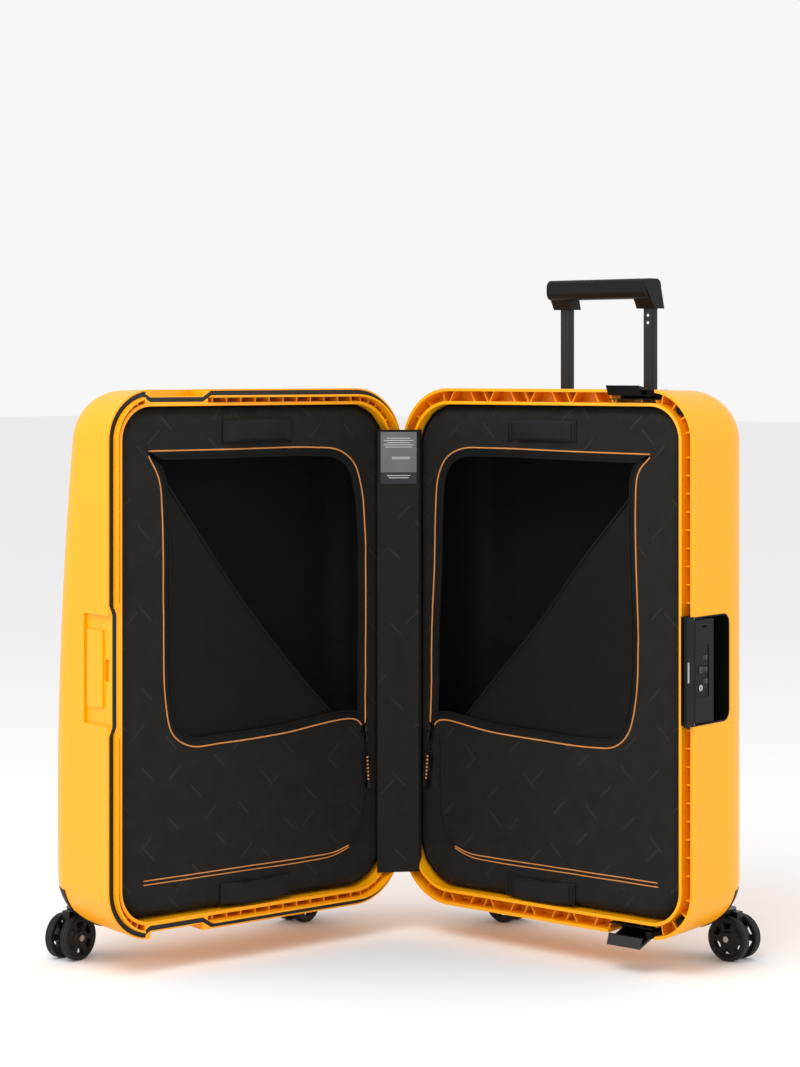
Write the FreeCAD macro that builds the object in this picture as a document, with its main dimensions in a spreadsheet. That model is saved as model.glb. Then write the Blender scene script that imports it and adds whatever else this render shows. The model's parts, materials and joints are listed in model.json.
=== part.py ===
"""Hard shell suitcase on four twin casters, standing open like a book.

Both halves are drawn in one half frame: X runs from the hinge axis to the lock side, Y from the
rim plane into the half, and Z up from the floor. The front half is that drawing mirrored in the
rim plane and turned about the hinge axis by the opening angle. Lengths are in millimetres.
"""
import FreeCAD
import Part
import Sketcher
import math
import os
import re

SIZES = {
    # overall size of the case
    "case_width": 480, "case_bottom": 46, "case_top": 746, "rear_depth": 171, "front_depth": 169,
    "opening_angle": 100, "hinge_offset": 0.6, "wall": 2, "draft": 4,
    # rounding of the shells
    "hinge_corner": 80, "lock_corner": 65, "edge_round": 66, "rear_lock_round": 88,
    "front_bow_radius": 3137, "front_bow_height": 154,
    # rims: two walls with a ribbed channel between them
    "rim_gap": 0.5, "rim_width": 21.6, "rim_depth": 34, "skin_edge": 4, "lip": 4.2,
    "channel_depth": 30, "rib_recess": 10.5, "rib_thickness": 1.8, "front_rib_recess": 4,
    "rib_pitch": 23,
    # seal and tongue of the front rim
    "gasket_start": 2, "gasket_width": 6.2, "gasket_depth": 5, "tongue_gap": 0.2, "tongue_width": 2.6,
    "tongue_height": 8,
    # hinges
    "hinge_length": 66, "knuckle_radius": 3.5, "hinge_pin_radius": 1.2, "running": 0.05,
    "hinge_clear": 0.4, "leaf_depth": 20, "leaf_thickness": 1.1, "hinge_inset": 84,
    # latches at the top and at the bottom
    "latch_inset": 125, "latch_width": 52, "latch_pivot": 32, "latch_reach": 16,
    "latch_sink": 8, "latch_plate": 3.5, "latch_drop": 11, "latch_barrel": 4,
    "latch_pin_radius": 1.5, "latch_ear": 5, "latch_side_gap": 0.4, "latch_block_margin": 17,
    "latch_block_depth": 40, "latch_block_thickness": 21.6, "latch_floor": 13.5,
    "top_latch_lift": 11, "bottom_latch_lift": 20,
    "strike_step": 9, "strike_wall": 3,
    "strike_pocket": 20,
    # main lock and side handle
    "lock_drop": 74, "lock_height": 138, "lock_depth": 86, "pan_wall": 2, "pan_floor": 16.5,
    "pan_well": 33, "pan_step": 42, "pan_corner": 14, "lever_thickness": 5, "lever_depth": 45,
    "lever_front": 2, "lever_proud": 1, "lever_end_gap": 4,
    "lever_barrel": 3.2, "cover_reach": 15, "cover_thickness": 4.5, "front_recess": 5.5,
    "recess_depth": 58, "lock_face_start": 9, "lock_face_width": 25, "lock_face_rise": 36,
    "lock_face_height": 66, "lock_face_sink": 0.8, "dial_radius": 7, "dial_thickness": 6,
    "dial_pitch": 15, "dial_proud": 1.2, "dial_place": 27, "key_radius": 4, "button_size": 8,
    "bolt_width": 5, "bolt_height": 26, "bolt_length": 4.5, "fit_gap": 0.3,
    # telescopic handle
    "handle_offset": 0.5, "post_spacing": 139, "post_inset": 21, "inner_tube_x": 16,
    "inner_tube_y": 11, "tube_gap": 0.5, "tube_wall": 1.5, "foot_rise": 42,
    "tube_length": 560, "well_depth": 47, "well_width": 205,
    "well_front": 67, "well_back": 5, "bezel_wall": 2.5, "grip_rise": 147, "grip_width": 164,
    "grip_height": 27, "grip_front": 52, "grip_depth": 38, "socket_drop": 13, "grip_edge": 10,
    "socket_x": 30, "socket_taper": 2,
    "socket_y": 22, "grip_button_width": 56, "grip_button_depth": 20, "grip_button_height": 7,
    "grip_button_travel": 3,
    # casters
    "wheel_radius": 29, "wheel_width": 12, "wheel_spacing": 27, "axle_radius": 2,
    "caster_trail": 17, "caster_back": 20, "swing_clear": 7,
    "well_wall": 3, "wheel_clear": 8, "roof_thickness": 4, "fork_width": 12.6, "fork_disc": 17,
    "fork_plate": 4.5, "stem_radius": 4, "housing_rise": 33, "housing_reach": 95,
    "housing_front": 41, "housing_skin": 1.5, "front_caster_angle": 14,
    # soft inside pieces
    "lining_gap": 3, "lining_wall": 1, "lining_foot": 5, "rear_lining_back": 37,
    "front_lining_back": 69, "lining_round": 62, "panel_gap": 0.4, "panel_start": 8,
    "panel_thickness": 2,
    "window_lock_side": 88, "window_hinge_side": 50, "window_top": 80, "window_bottom": 237,
    "window_round": 22, "window_inset": 10, "flap_drop": 105, "flap_gap": 2,
    "flap_thickness": 2, "loop_width": 112, "loop_height": 30,
    "loop_offset": 2, "loop_rise": 3, "loop_thickness": 1.6, "pull_length": 78,
    "pull_width": 11, "cover_rear": 30, "cover_front": 45, "cover_proud": 9, "cover_gap": 2.6,
    "cover_inset": 39, "cover_sheet": 2, "label_height": 72, "label_width": 44, "label_sheet": 0.6,
    "screw_radius": 5, "screw_height": 1.2,
}
PLACES = {
    # places that follow the sizes above
    "latch_start": "case_width - latch_inset",
    "lock_bottom": "(case_bottom + case_top) / 2 - lock_drop",
    "lock_face_bottom": "lock_bottom + lock_face_rise",
    "handle_centre": "case_width / 2 + handle_offset",
    "post_place": "rear_depth - post_inset",
    "well_floor": "case_top - well_depth",
    "well_start": "rear_depth - well_front",
    "well_end": "rear_depth - well_back",
    "grip_top": "case_top + grip_rise",
    "grip_start": "rear_depth - grip_front",
    "well_roof": "2 * wheel_radius + wheel_clear",
    "swing_radius": "wheel_radius + caster_trail + swing_clear",
    "caster_place": "front_depth - caster_back",
    "housing_top": "well_roof + housing_rise",
    "housing_start": "caster_place - housing_front",
    "outer_tube_foot": "well_roof + roof_thickness + foot_rise",
    "lining_low": "well_roof + roof_thickness + lining_foot",
    "rear_lining_depth": "rear_depth - rear_lining_back",
    "front_lining_depth": "front_depth - front_lining_back",
    "loop_place": "case_width / 2 - loop_offset",
}
ORIGIN = FreeCAD.Vector(0, 0, 0)
X_AXIS = FreeCAD.Vector(1, 0, 0)
Y_AXIS = FreeCAD.Vector(0, 1, 0)
Z_AXIS = FreeCAD.Vector(0, 0, 1)
EPSILON = 1e-4

doc = FreeCAD.newDocument("suitcase")
sheet = doc.addObject("Spreadsheet::Sheet", "Sizes")
for row, (alias, number) in enumerate(SIZES.items(), start=1):
    sheet.set(f"A{row}", alias)
    sheet.set(f"B{row}", str(number))
    sheet.setAlias(f"B{row}", alias)
doc.recompute()
nodes = {}


# ---------------------------------------------------------------- sizes and expressions
def sized(text):
    """An expression in the sheet's aliases, written as FreeCAD wants it."""
    def spelled(word):
        name = word.group()
        return f"({sized(PLACES[name])})" if name in PLACES else f"Sizes.{name}"
    return re.sub(r"[a-z_]+[a-z]", spelled, str(text))


def value(text):
    return float(sheet.evalExpression(sized(text)))


def bind(thing, **expressions):
    for prop, text in expressions.items():
        thing.setExpression(prop.replace("__", "."), sized(text))


# ---------------------------------------------------------------- primitives
def block(name, x0, x1, y0, y1, z0, z1):
    """A box between two corners, each coordinate an expression."""
    box = doc.addObject("Part::Box", name)
    bind(box, Length=f"({x1})-({x0})", Width=f"({y1})-({y0})", Height=f"({z1})-({z0})")
    bind(box, Placement__Base__x=x0, Placement__Base__y=y0, Placement__Base__z=z0)
    return box


def rod(name, axis, radius, x, y, z, length):
    """A cylinder that starts at (x, y, z) and runs along one axis."""
    cylinder = doc.addObject("Part::Cylinder", name)
    cylinder.Placement.Rotation = FreeCAD.Rotation(Z_AXIS, axis)
    bind(cylinder, Radius=radius, Height=length)
    bind(cylinder, Placement__Base__x=x, Placement__Base__y=y, Placement__Base__z=z)
    return cylinder


def fuse(name, *pieces):
    union = doc.addObject("Part::MultiFuse", name)
    union.Shapes = list(pieces)
    return union


def cut(name, base, *tools):
    result = doc.addObject("Part::Cut", name)
    result.Base = base
    result.Tool = tools[0] if len(tools) == 1 else fuse(name + "_tools", *tools)
    return result


def common(name, first, second):
    result = doc.addObject("Part::Common", name)
    result.Base = first
    result.Tool = second
    return result


def group(name, *pieces):
    compound = doc.addObject("Part::Compound", name)
    compound.Links = list(pieces)
    return compound


def rounded(name, base, radius_of):
    """Fillets on the edges for which radius_of(edge) gives a radius."""
    doc.recompute()
    fillet = doc.addObject("Part::Fillet", name)
    fillet.Base = base
    radii = [(number, radius_of(edge)) for number, edge in enumerate(base.Shape.Edges, start=1)]
    fillet.Edges = [(number, radius, radius) for number, radius in radii if radius]
    return fillet


def along(axis, radius):
    """Picks the straight edges that run along one axis."""
    def radius_of(edge):
        span = edge.Vertexes[-1].Point - edge.Vertexes[0].Point
        return radius if span.cross(axis).Length < EPSILON < span.Length else 0
    return radius_of


# ---------------------------------------------------------------- PartDesign helpers
def new_body(name):
    return doc.addObject("PartDesign::Body", name)


def new_sketch(body, plane):
    sketch = body.newObject("Sketcher::SketchObject", body.Name + "_sketch")
    origin_plane = [f for f in body.Origin.OriginFeatures if f.Role == plane][0]
    sketch.AttachmentSupport = [(origin_plane, "")]
    sketch.MapMode = "FlatFace"
    return sketch


def place_point(sketch, geometry, point, x, y):
    """Ties one point of a sketch to two expressions."""
    for kind, text in (("DistanceX", x), ("DistanceY", y)):
        number = sketch.addConstraint(
            Sketcher.Constraint(kind, -1, 1, geometry, point, value(text)))
        sketch.setExpression(f"Constraints[{number}]", sized(text))


def polygon(body, plane, points):
    """A closed outline whose corners are pairs of expressions."""
    sketch = new_sketch(body, plane)
    corners = [FreeCAD.Vector(value(x), value(y), 0) for x, y in points]
    for number, corner in enumerate(corners):
        following = corners[(number + 1) % len(corners)]
        sketch.addGeometry(Part.LineSegment(corner, following))
    for number in range(len(corners)):
        following = (number + 1) % len(corners)
        sketch.addConstraint(Sketcher.Constraint("Coincident", number, 2, following, 1))
    for number, (x, y) in enumerate(points):
        place_point(sketch, number, 1, x, y)
    return sketch


def pad(body, sketch, length, midplane=False, back=False):
    feature = body.newObject("PartDesign::Pad", body.Name + "_pad")
    feature.Profile = sketch
    feature.Midplane = midplane
    feature.Reversed = back
    bind(feature, Length=length)
    return feature


# ---------------------------------------------------------------- finished pieces
def rest_placement(half):
    """Where a half's drawing goes when the case stands open."""
    if half == "rear":
        return FreeCAD.Placement()
    return FreeCAD.Placement(ORIGIN, FreeCAD.Rotation(Z_AXIS, -value("opening_angle")))


def node(name, half, *pieces, local=None):
    """A named sub-part made of pieces in the half frame, in its place at rest."""
    local = local or FreeCAD.Placement()
    if half == "front":
        drawn = group(name + "_drawn", *pieces)
        drawn.Placement = local
        mirror = doc.addObject("Part::Mirroring", name + "_mirror")
        mirror.Source = drawn
        mirror.Normal = Y_AXIS
        pieces = [mirror]
        local = FreeCAD.Placement()
    piece = group(name, *pieces)
    piece.Label = name
    piece.Placement = rest_placement(half) * local
    nodes[name] = piece
    return piece


# ---------------------------------------------------------------- outlines of the case
def tub(name, half, inset, back_inset):
    """The solid inside the case's outer surface, set in by inset, with its rounded edges."""
    depth = f"{half}_depth - ({back_inset})"
    sides = {"Xmin": f"hinge_offset + {inset}", "Xmax": f"case_width - ({inset})",
             "Zmin": f"case_bottom + {inset}", "Zmax": f"case_top - ({inset})"}
    wedge = doc.addObject("Part::Wedge", name + "_wedge")
    bind(wedge, Ymin="rim_gap / 2", Ymax=depth, **sides)
    bind(wedge, X2min=sides["Xmin"] + " + draft", X2max=sides["Xmax"] + " - draft",
         Z2min=sides["Zmin"] + " + draft", Z2max=sides["Zmax"] + " - draft")
    base = wedge
    if half == "front":
        bow = rod(name + "_bow", X_AXIS, f"front_bow_radius - ({back_inset})", "-case_width",
                  "front_depth - front_bow_radius", "case_bottom + front_bow_height",
                  "3 * case_width")
        base = common(name + "_bowed", wedge, bow)
    middle = value("case_width") / 2
    shallow = value(depth) / 3
    corner = {True: value("lock_corner"), False: value("hinge_corner")}
    lock_round = value("rear_lock_round" if half == "rear" else "edge_round")

    def radius_of(edge):
        start, end = (vertex.Point for vertex in (edge.Vertexes[0], edge.Vertexes[-1]))
        lock_side = (start.x + end.x) / 2 > middle
        if min(start.y, end.y) < shallow:
            return corner[lock_side] - value(inset) if max(start.y, end.y) > shallow else 0
        upright = abs(end.z - start.z) > abs(end.x - start.x)
        radius = lock_round if upright and lock_side else value("edge_round")
        return radius - value(inset)
    return rounded(name, base, radius_of)


def outline(name, inset, y0, y1):
    """A straight prism on the rim's outline, set in by inset."""
    prism = block(name + "_block", f"hinge_offset + {inset}", f"case_width - ({inset})", y0, y1,
                  f"case_bottom + {inset}", f"case_top - ({inset})")
    middle = value("case_width") / 2
    run = value(f"({y1})-({y0})")

    def radius_of(edge):
        start, end = (vertex.Point for vertex in (edge.Vertexes[0], edge.Vertexes[-1]))
        if abs(abs(end.y - start.y) - run) > EPSILON or abs(end.x - start.x) > EPSILON:
            return 0
        if abs(end.z - start.z) > EPSILON:
            return 0
        corner = "lock_corner" if start.x > middle else "hinge_corner"
        return value(corner) - value(inset)
    return rounded(name, prism, radius_of)


def ring(name, outer, inner, y0, y1):
    """The band between two insets of the rim's outline."""
    return cut(name, outline(name + "_outer", outer, y0, y1),
               outline(name + "_inner", inner, f"({y0}) - 1", f"({y1}) + 1"))


def rim_ribs(name, slants, close, fan, y0, y1):
    """Thin slabs across the rim channel: level on the sides, fanned out at the corners, and at
    top and bottom set close apart at the given slants, which repeat."""
    ribs = doc.addObject("Part::Feature", name)
    thick, pitch = value("rib_thickness"), value("rib_pitch")
    depth = value(f"({y1})-({y0})")
    width, low, high = value("case_width"), value("case_bottom"), value("case_top")
    reach = 2 * value("rim_width")
    slabs = []

    def slab(x, z, length, angle):
        box = Part.makeBox(length, depth, thick, FreeCAD.Vector(0, 0, -thick / 2))
        turned = FreeCAD.Rotation(Y_AXIS, -angle)
        box.Placement = FreeCAD.Placement(FreeCAD.Vector(x, value(y0), z), turned)
        slabs.append(box)
    round_hinge, round_lock = value("hinge_corner"), value("lock_corner")
    top_radius = max(round_hinge, round_lock)
    count = int((high - low - 2 * top_radius) // pitch)
    first = (high + low - count * pitch) / 2
    for number in range(count + 1):
        slab(-1, first + number * pitch, reach, 0)
        slab(width + 1, first + number * pitch, reach, 180)
    count = int((width - round_hinge - round_lock) // close)
    first = (width + round_hinge - round_lock - count * close) / 2
    for number in range(count + 1):
        slant = slants[number % len(slants)]
        slab(first + number * close, low - 1, reach, slant)
        slab(first + number * close, high + 1, reach, -slant)
    for x, z, radius, start in ((round_hinge, low + round_hinge, round_hinge, 180),
                                (width - round_lock, low + round_lock, round_lock, 270),
                                (width - round_lock, high - round_lock, round_lock, 0),
                                (round_hinge, high - round_hinge, round_hinge, 90)):
        for angle in (start + turn for turn in fan):
            ray = math.radians(angle)
            inside = radius - value("rim_width") - 6
            slab(x + inside * math.cos(ray), z + inside * math.sin(ray), reach, angle)
    ribs.Shape = Part.makeCompound(slabs)
    return ribs


# ---------------------------------------------------------------- latch stations
LATCH_END = "latch_start + latch_width"
ENDS = {"top": 1, "bottom": -1}


def end_block(name, end, x0, x1, y0, y1, outer, inner):
    """A box at the top or bottom of the case, its height given as depths below the surface."""
    if end == "top":
        return block(name, x0, x1, y0, y1, f"case_top - ({inner})", f"case_top - ({outer})")
    return block(name, x0, x1, y0, y1, f"case_bottom + ({outer})", f"case_bottom + ({inner})")


def latch_blocks(half):
    """Solid stretches of the rim that carry the latches or their strikes."""
    return [end_block(f"{half}_{end}_latch_block", end, "latch_start - latch_block_margin - 12",
                      LATCH_END + " + latch_block_margin", "rim_gap / 2", "latch_block_depth",
                      0, "latch_block_thickness") for end in ENDS]


def lock_zone(name, margin, y0, y1, inner, outer="-3"):
    """A box over the main lock's stretch of the lock side."""
    return block(name, f"case_width - ({inner})", f"case_width - ({outer})", y0, y1,
                 f"lock_bottom - ({margin})", f"lock_bottom + lock_height + {margin}")


# ---------------------------------------------------------------- hinges
HINGES = {"low": "case_bottom + hinge_inset",
          "middle": "(case_bottom + case_top - hinge_length) / 2",
          "high": "case_top - hinge_inset - hinge_length"}


def hinge_leaf(name, start, centre_knuckle):
    """One leaf: a plate let into the skin's edge, with the middle knuckle or the outer two."""
    third = "hinge_length / 3"
    gap = "running"
    plate = block(name + "_plate", "knuckle_radius - leaf_thickness", "knuckle_radius", 0,
                  "leaf_depth", start, f"{start} + hinge_length")
    knuckles = [(f"{start} + {third} + {gap}", f"{third} - 2 * {gap}")]
    spaces = [(start, third), (f"{start} + 2 * {third}", third)]
    if not centre_knuckle:
        knuckles = [(z, f"{length} - {gap}") for z, length in spaces]
        knuckles[1] = (f"{start} + 2 * {third} + {gap}", f"{third} - {gap}")
        spaces = [(f"{start} + {third}", third)]
    rings = [rod(f"{name}_knuckle_{i}", Z_AXIS, "knuckle_radius", 0, 0, z, length)
             for i, (z, length) in enumerate(knuckles)]
    clears = [rod(f"{name}_clear_{i}", Z_AXIS, "knuckle_radius + hinge_clear", 0, 0, z, length)
              for i, (z, length) in enumerate(spaces)]
    hole = rod(name + "_hole", Z_AXIS, "hinge_pin_radius + running", 0, 0, f"{start} - 1",
               "hinge_length + 2")
    solid = fuse(name + "_solid", cut(name + "_eased", plate, *clears), *rings)
    return cut(name, solid, hole)


def hinge_slots(half):
    """Room in the shell's edge for the knuckles and the leaves."""
    slots = []
    for spot, start in HINGES.items():
        name = f"{half}_{spot}_hinge_slot"
        low, length = f"{start} - hinge_clear", "hinge_length + 2 * hinge_clear"
        slots.append(rod(name, Z_AXIS, "knuckle_radius + hinge_clear", 0, 0, low, length))
        slots.append(block(name + "_leaf", "knuckle_radius - leaf_thickness - running",
                           "knuckle_radius + running", -1, "leaf_depth + running", low,
                           f"{low} + {length}"))
    return slots


# ---------------------------------------------------------------- casters and their wells
CASTERS = {"hinge": "hinge_offset + swing_radius", "lock": "case_width - swing_radius"}


def caster_wells(half):
    return [rod(f"{half}_{side}_well", Z_AXIS, "swing_radius + well_wall + running", x,
                "caster_place", 0, "well_roof + roof_thickness + running")
            for side, x in CASTERS.items()]


def wheel_housing(half, side):
    """A black corner piece: a roofed well for the caster and a skin that wraps the corner."""
    name = f"{half}_{side}_housing"
    x = CASTERS[side]
    grown = tub(name + "_grown", half, "-housing_skin", 0)
    drum = rod(name + "_drum", Z_AXIS, "swing_radius + well_wall", x, "caster_place", 0,
               "well_roof + roof_thickness")
    swing = rod(name + "_swing", Z_AXIS, "swing_radius", x, "caster_place", 0, "well_roof")
    well = cut(name + "_well", common(name + "_capped", grown, drum), swing)
    roof = "well_roof + roof_thickness"
    span = ("-housing_skin - 1", "housing_reach")
    if side == "lock":
        span = ("case_width - housing_reach", "case_width + housing_skin + 1")
    corner = block(name + "_corner", *span, "housing_start", "rear_depth + 1", roof,
                   "housing_top")
    wrap = cut(name + "_wrap", common(name + "_band", grown, corner), outer_tubs[half])
    hole = rod(name + "_hole", Z_AXIS, "stem_radius + running", x, "caster_place", 0,
               "housing_top")
    return cut(name, fuse(name + "_solid", well, wrap), hole)


# ---------------------------------------------------------------- the two shells
outer_tubs = {half: tub(f"{half}_outer", half, 0, 0) for half in ("rear", "front")}


RIBS = {"rear": ((118, 62, 62), (12, 34, 56, 78), "rib_recess"),
        "front": ((90,), range(9, 90, 12), "front_rib_recess")}


def shell(half, channel, extras, cuts, fills):
    """A thin shell with its rim frame: skin, ribbed channel and inner lip."""
    outer = outer_tubs[half]
    skin = cut(half + "_skin", outer, tub(half + "_inner", half, "wall", "wall"))
    band = ring(half + "_band", 1, "rim_width", "rim_gap / 2", "rim_depth")
    solids = common(half + "_rim", outer, fuse(half + "_rim_solids", band, *extras))
    slants, fan, recess = RIBS[half]
    ribs = rim_ribs(half + "_ribs", slants, value("rib_pitch"), fan, recess, "channel_depth + 1")
    groove = cut(half + "_groove", channel, ribs, *extras)
    return cut(half + "_case", fuse(half + "_whole", skin, solids, *fills), groove, *cuts)


# rear shell: channel, latch pockets, lock pan, handle well, hinge slots, caster wells
LIP_INSET = "rim_width - lip"
rear_channel = ring("rear_channel", "skin_edge", LIP_INSET, -1, "channel_depth")
latch_pockets = [end_block(f"rear_{end}_pocket", end, "latch_start - latch_ear - 1",
                           LATCH_END + " + latch_block_margin - 3", -1, "latch_pivot + 6",
                           -2, "latch_floor") for end in ENDS]


def pan_space(name, shrink, front):
    """The space of the lock's pan: shallow behind the plate, deep behind the finger grip."""
    def on_axis(edge):
        start, end = edge.Vertexes[0].Point, edge.Vertexes[-1].Point
        straight = abs(end.y - start.y) + abs(end.z - start.z) < EPSILON
        deep = start.y > value("lock_depth") / 2
        return value("pan_corner") - value(shrink) if straight and deep else 0
    pieces = []
    for part, start, floor in (("shallow", front, "pan_floor"),
                               ("deep", f"pan_step + {shrink}", "pan_well")):
        box = block(f"{name}_{part}", f"case_width - {floor} - pan_wall + {shrink}",
                    "case_width + 5", start, f"lock_depth - ({shrink})",
                    f"lock_bottom + {shrink}", f"lock_bottom + lock_height - ({shrink})")
        pieces.append(rounded(f"{name}_{part}_round", box, on_axis))
    return fuse(name, *pieces)


well_space = block("well_space", "handle_centre - well_width / 2",
                   "handle_centre + well_width / 2", "well_start", "well_end", "well_floor",
                   "case_top + 1")
rear_cuts = latch_pockets + hinge_slots("rear") + caster_wells("rear")
rear_cuts += [pan_space("rear_lock_space", 0, -1), well_space]
node("rear_shell", "rear",
     shell("rear", rear_channel, latch_blocks("rear"), rear_cuts, []))

# front shell: gasket groove, tongue, strikes for the latches and the shallow lock recess
TONGUE_INSET = "gasket_start + gasket_width + tongue_gap"
TONGUE_INNER = TONGUE_INSET + " + tongue_width"
front_channel = ring("front_channel", TONGUE_INNER, LIP_INSET, -1, "channel_depth")
tongue_ring = ring("tongue_ring", TONGUE_INSET, TONGUE_INNER, "-tongue_height", 1)
lock_block = lock_zone("front_lock_block", 16, "rim_gap / 2", "recess_depth + 4", LIP_INSET, 0)
front_blocks = latch_blocks("front") + [lock_block]
tongue_gaps = [end_block(f"tongue_{end}_gap", end, "latch_start - latch_block_margin - 16",
                         LATCH_END + " + latch_block_margin + 4", "-tongue_height - 1", 1,
                         -1, "rim_width") for end in ENDS]
tongue_gaps += [lock_zone("tongue_lock_gap", 10, "-tongue_height - 1", 1, "rim_width")]
tongue = cut("tongue_proud", tongue_ring, *tongue_gaps)
STRIKE_START = "latch_start - latch_block_margin - 4"
STRIKE_END = LATCH_END + " + 9"
strike_steps = [end_block(f"front_{end}_step", end, STRIKE_START, STRIKE_END, -1, 30, -2,
                          "strike_step") for end in ENDS]
strike_pockets = [end_block(f"front_{end}_strike", end, "latch_start - 3", LATCH_END + " + 3",
                            "rim_gap / 2 + strike_wall", 22, -2, "strike_pocket")
                  for end in ENDS]
recess = lock_zone("front_recess_space", 1, -1, "recess_depth", "front_recess")
recess_pad = block("front_recess_pad", "case_width - front_recess - 1",
                   "case_width - front_recess / 2", 17, "recess_depth - 5",
                   "lock_bottom + 21", "lock_bottom + lock_height - 19")
bolt_slot = block("front_bolt_slot", "case_width - front_recess - bolt_length - 1",
                  "case_width", "cover_reach - 2 - bolt_width - 1", "cover_reach - 1",
                  "lock_bottom + (lock_height - bolt_height) / 2 - 1",
                  "lock_bottom + (lock_height + bolt_height) / 2 + 1")
recess_cut = cut("front_recess", recess, recess_pad)


# ---------------------------------------------------------------- gasket
def detour(name, axis_points, drop, start, end, ramp, sense):
    """A stretch of gasket that steps inwards between start and end, with a ramp each way."""
    outer = [(f"{start} - {ramp}", "0"), (start, drop), (end, drop), (f"{end} + {ramp}", "0")]
    inner = [(x, f"{d} + gasket_width") for x, d in reversed(outer)]
    body = new_body(name)
    sketch = polygon(body, "XZ_Plane", [axis_points(x, f"gasket_start + {d}")
                                        for x, d in outer + inner])
    pad(body, sketch, "gasket_depth", back=sense)
    bind(body, Placement__Base__y="rim_gap / 2")
    return body


GASKET_STEP = "strike_step + 1.2 - gasket_start"
LOCK_STEP = "front_recess + 1.2 - gasket_start"
LOCK_LOW = "lock_bottom - 2"
LOCK_HIGH = "lock_bottom + lock_height + 2"
gasket_ring = ring("gasket_ring", "gasket_start", "gasket_start + gasket_width", "rim_gap / 2",
                   "rim_gap / 2 + gasket_depth")
gasket_gaps = [end_block(f"gasket_{end}_gap", end, STRIKE_START + " - 13", STRIKE_END + " + 7",
                         -1, 9, -1, "rim_width") for end in ENDS]
gasket_gaps += [block("gasket_lock_gap", "case_width - rim_width", "case_width", -1, 9,
                      LOCK_LOW + " - 12", LOCK_HIGH + " + 12")]
gasket_gaps += [block(f"gasket_{spot}_hinge_gap", -1, "skin_edge", -1, 9, f"{start} - 2",
                      f"{start} + hinge_length + 2") for spot, start in HINGES.items()]
top_detour = detour("gasket_top", lambda x, d: (x, f"case_top - ({d})"), GASKET_STEP,
                    STRIKE_START, STRIKE_END, "13", True)
bottom_detour = detour("gasket_bottom", lambda x, d: (x, f"case_bottom + {d}"), GASKET_STEP,
                       STRIKE_START, STRIKE_END, "13", True)
lock_detour = detour("gasket_lock", lambda z, d: (f"case_width - ({d})", z), LOCK_STEP,
                     LOCK_LOW, LOCK_HIGH, "12", True)
gasket = fuse("gasket_whole", cut("gasket_open", gasket_ring, *gasket_gaps), top_detour,
              bottom_detour, lock_detour)
front_cuts = strike_steps + strike_pockets + hinge_slots("front") + caster_wells("front")
front_cuts += [recess_cut, bolt_slot, gasket]
node("front_shell", "front",
     shell("front", front_channel, front_blocks, front_cuts, [tongue]))
node("front_gasket", "front", gasket)


# ---------------------------------------------------------------- hinges in place
node("hinge_rear_leaves", "rear",
     *[hinge_leaf(f"rear_{spot}_leaf", start, False) for spot, start in HINGES.items()])
node("hinge_front_leaves", "front",
     *[hinge_leaf(f"front_{spot}_leaf", start, True) for spot, start in HINGES.items()])
node("hinge_pins", "rear",
     *[rod(f"{spot}_hinge_pin", Z_AXIS, "hinge_pin_radius", 0, 0, start, "hinge_length")
       for spot, start in HINGES.items()])


# ---------------------------------------------------------------- flip latches
def latch_lever(name):
    """The flip lever about its own pivot: barrel, flat top and a lip that hooks the strike."""
    reach = "latch_pivot + latch_reach"
    top = "latch_barrel"
    foot = "latch_barrel - latch_drop"
    body = new_body(name + "_plate")
    profile = polygon(body, "YZ_Plane", [
        ("0", f"{top} - latch_plate"), ("0", top), (f"-({reach})", top),
        (f"-({reach}) + 8.2", foot), (f"-({reach}) + 10.6", foot),
        (f"-({reach}) + 4.5", f"{top} - latch_plate")])
    pad(body, profile, "latch_width", midplane=True)
    barrel = rod(name + "_barrel", X_AXIS, "latch_barrel", "-latch_width / 2", 0, 0,
                 "latch_width")
    hole = rod(name + "_hole", X_AXIS, "latch_pin_radius + running", "-latch_width", 0, 0,
               "2 * latch_width")
    return cut(name, fuse(name + "_solid", body, barrel), hole)


def latch_base(end):
    """The plate in the shell's pocket, with an ear at each end of the lever and a raised pad."""
    name = f"{end}_latch_base"
    start, finish_x = "latch_start - latch_side_gap", LATCH_END + " + latch_side_gap"
    low, pocket_end = "latch_pivot - 6", "latch_pivot + 5.5"
    plate = end_block(name + "_plate", end, start + " - latch_ear", finish_x + " + 8.5", 1,
                      pocket_end, "latch_floor - 1.3", "latch_floor - 0.1")
    ears = [end_block(name + "_ear_low", end, start + " - latch_ear", start, low, pocket_end,
                      3.5, "latch_floor - 0.1"),
            end_block(name + "_ear_high", end, finish_x, finish_x + " + 8.5", low, pocket_end,
                      3.5, "latch_floor - 0.1"),
            end_block(name + "_pad", end, finish_x, finish_x + " + 8.5", 0.5, pocket_end, 0.6,
                      9)]
    hole = rod(name + "_hole", X_AXIS, "latch_pin_radius + running",
               "latch_start - 2 * latch_ear", "latch_pivot", PIVOT_HEIGHT[end],
               "latch_width + 4 * latch_ear")
    return cut(name, fuse(name + "_solid", plate, *ears), hole)


PIVOT_HEIGHT = {"top": "case_top - latch_sink", "bottom": "case_bottom + latch_sink"}
node("latch_bases", "rear", *[latch_base(end) for end in ENDS])
node("latch_pins", "rear",
     *[rod(f"{end}_latch_pin", X_AXIS, "latch_pin_radius",
           "latch_start - latch_side_gap - latch_ear + 0.5", "latch_pivot", PIVOT_HEIGHT[end],
           "latch_width + 2 * latch_ear") for end in ENDS])
lever = latch_lever("latch_lever")
for end, sense in ENDS.items():
    pivot = FreeCAD.Vector(value("latch_start + latch_width / 2"), value("latch_pivot"),
                           value(PIVOT_HEIGHT[end]))
    flipped = FreeCAD.Rotation(Y_AXIS, 0 if end == "top" else 180)
    lifted = FreeCAD.Rotation(X_AXIS, -sense * value(f"{end}_latch_lift"))
    node(f"{end}_latch", "rear", lever, local=FreeCAD.Placement(pivot, lifted * flipped))

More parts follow.
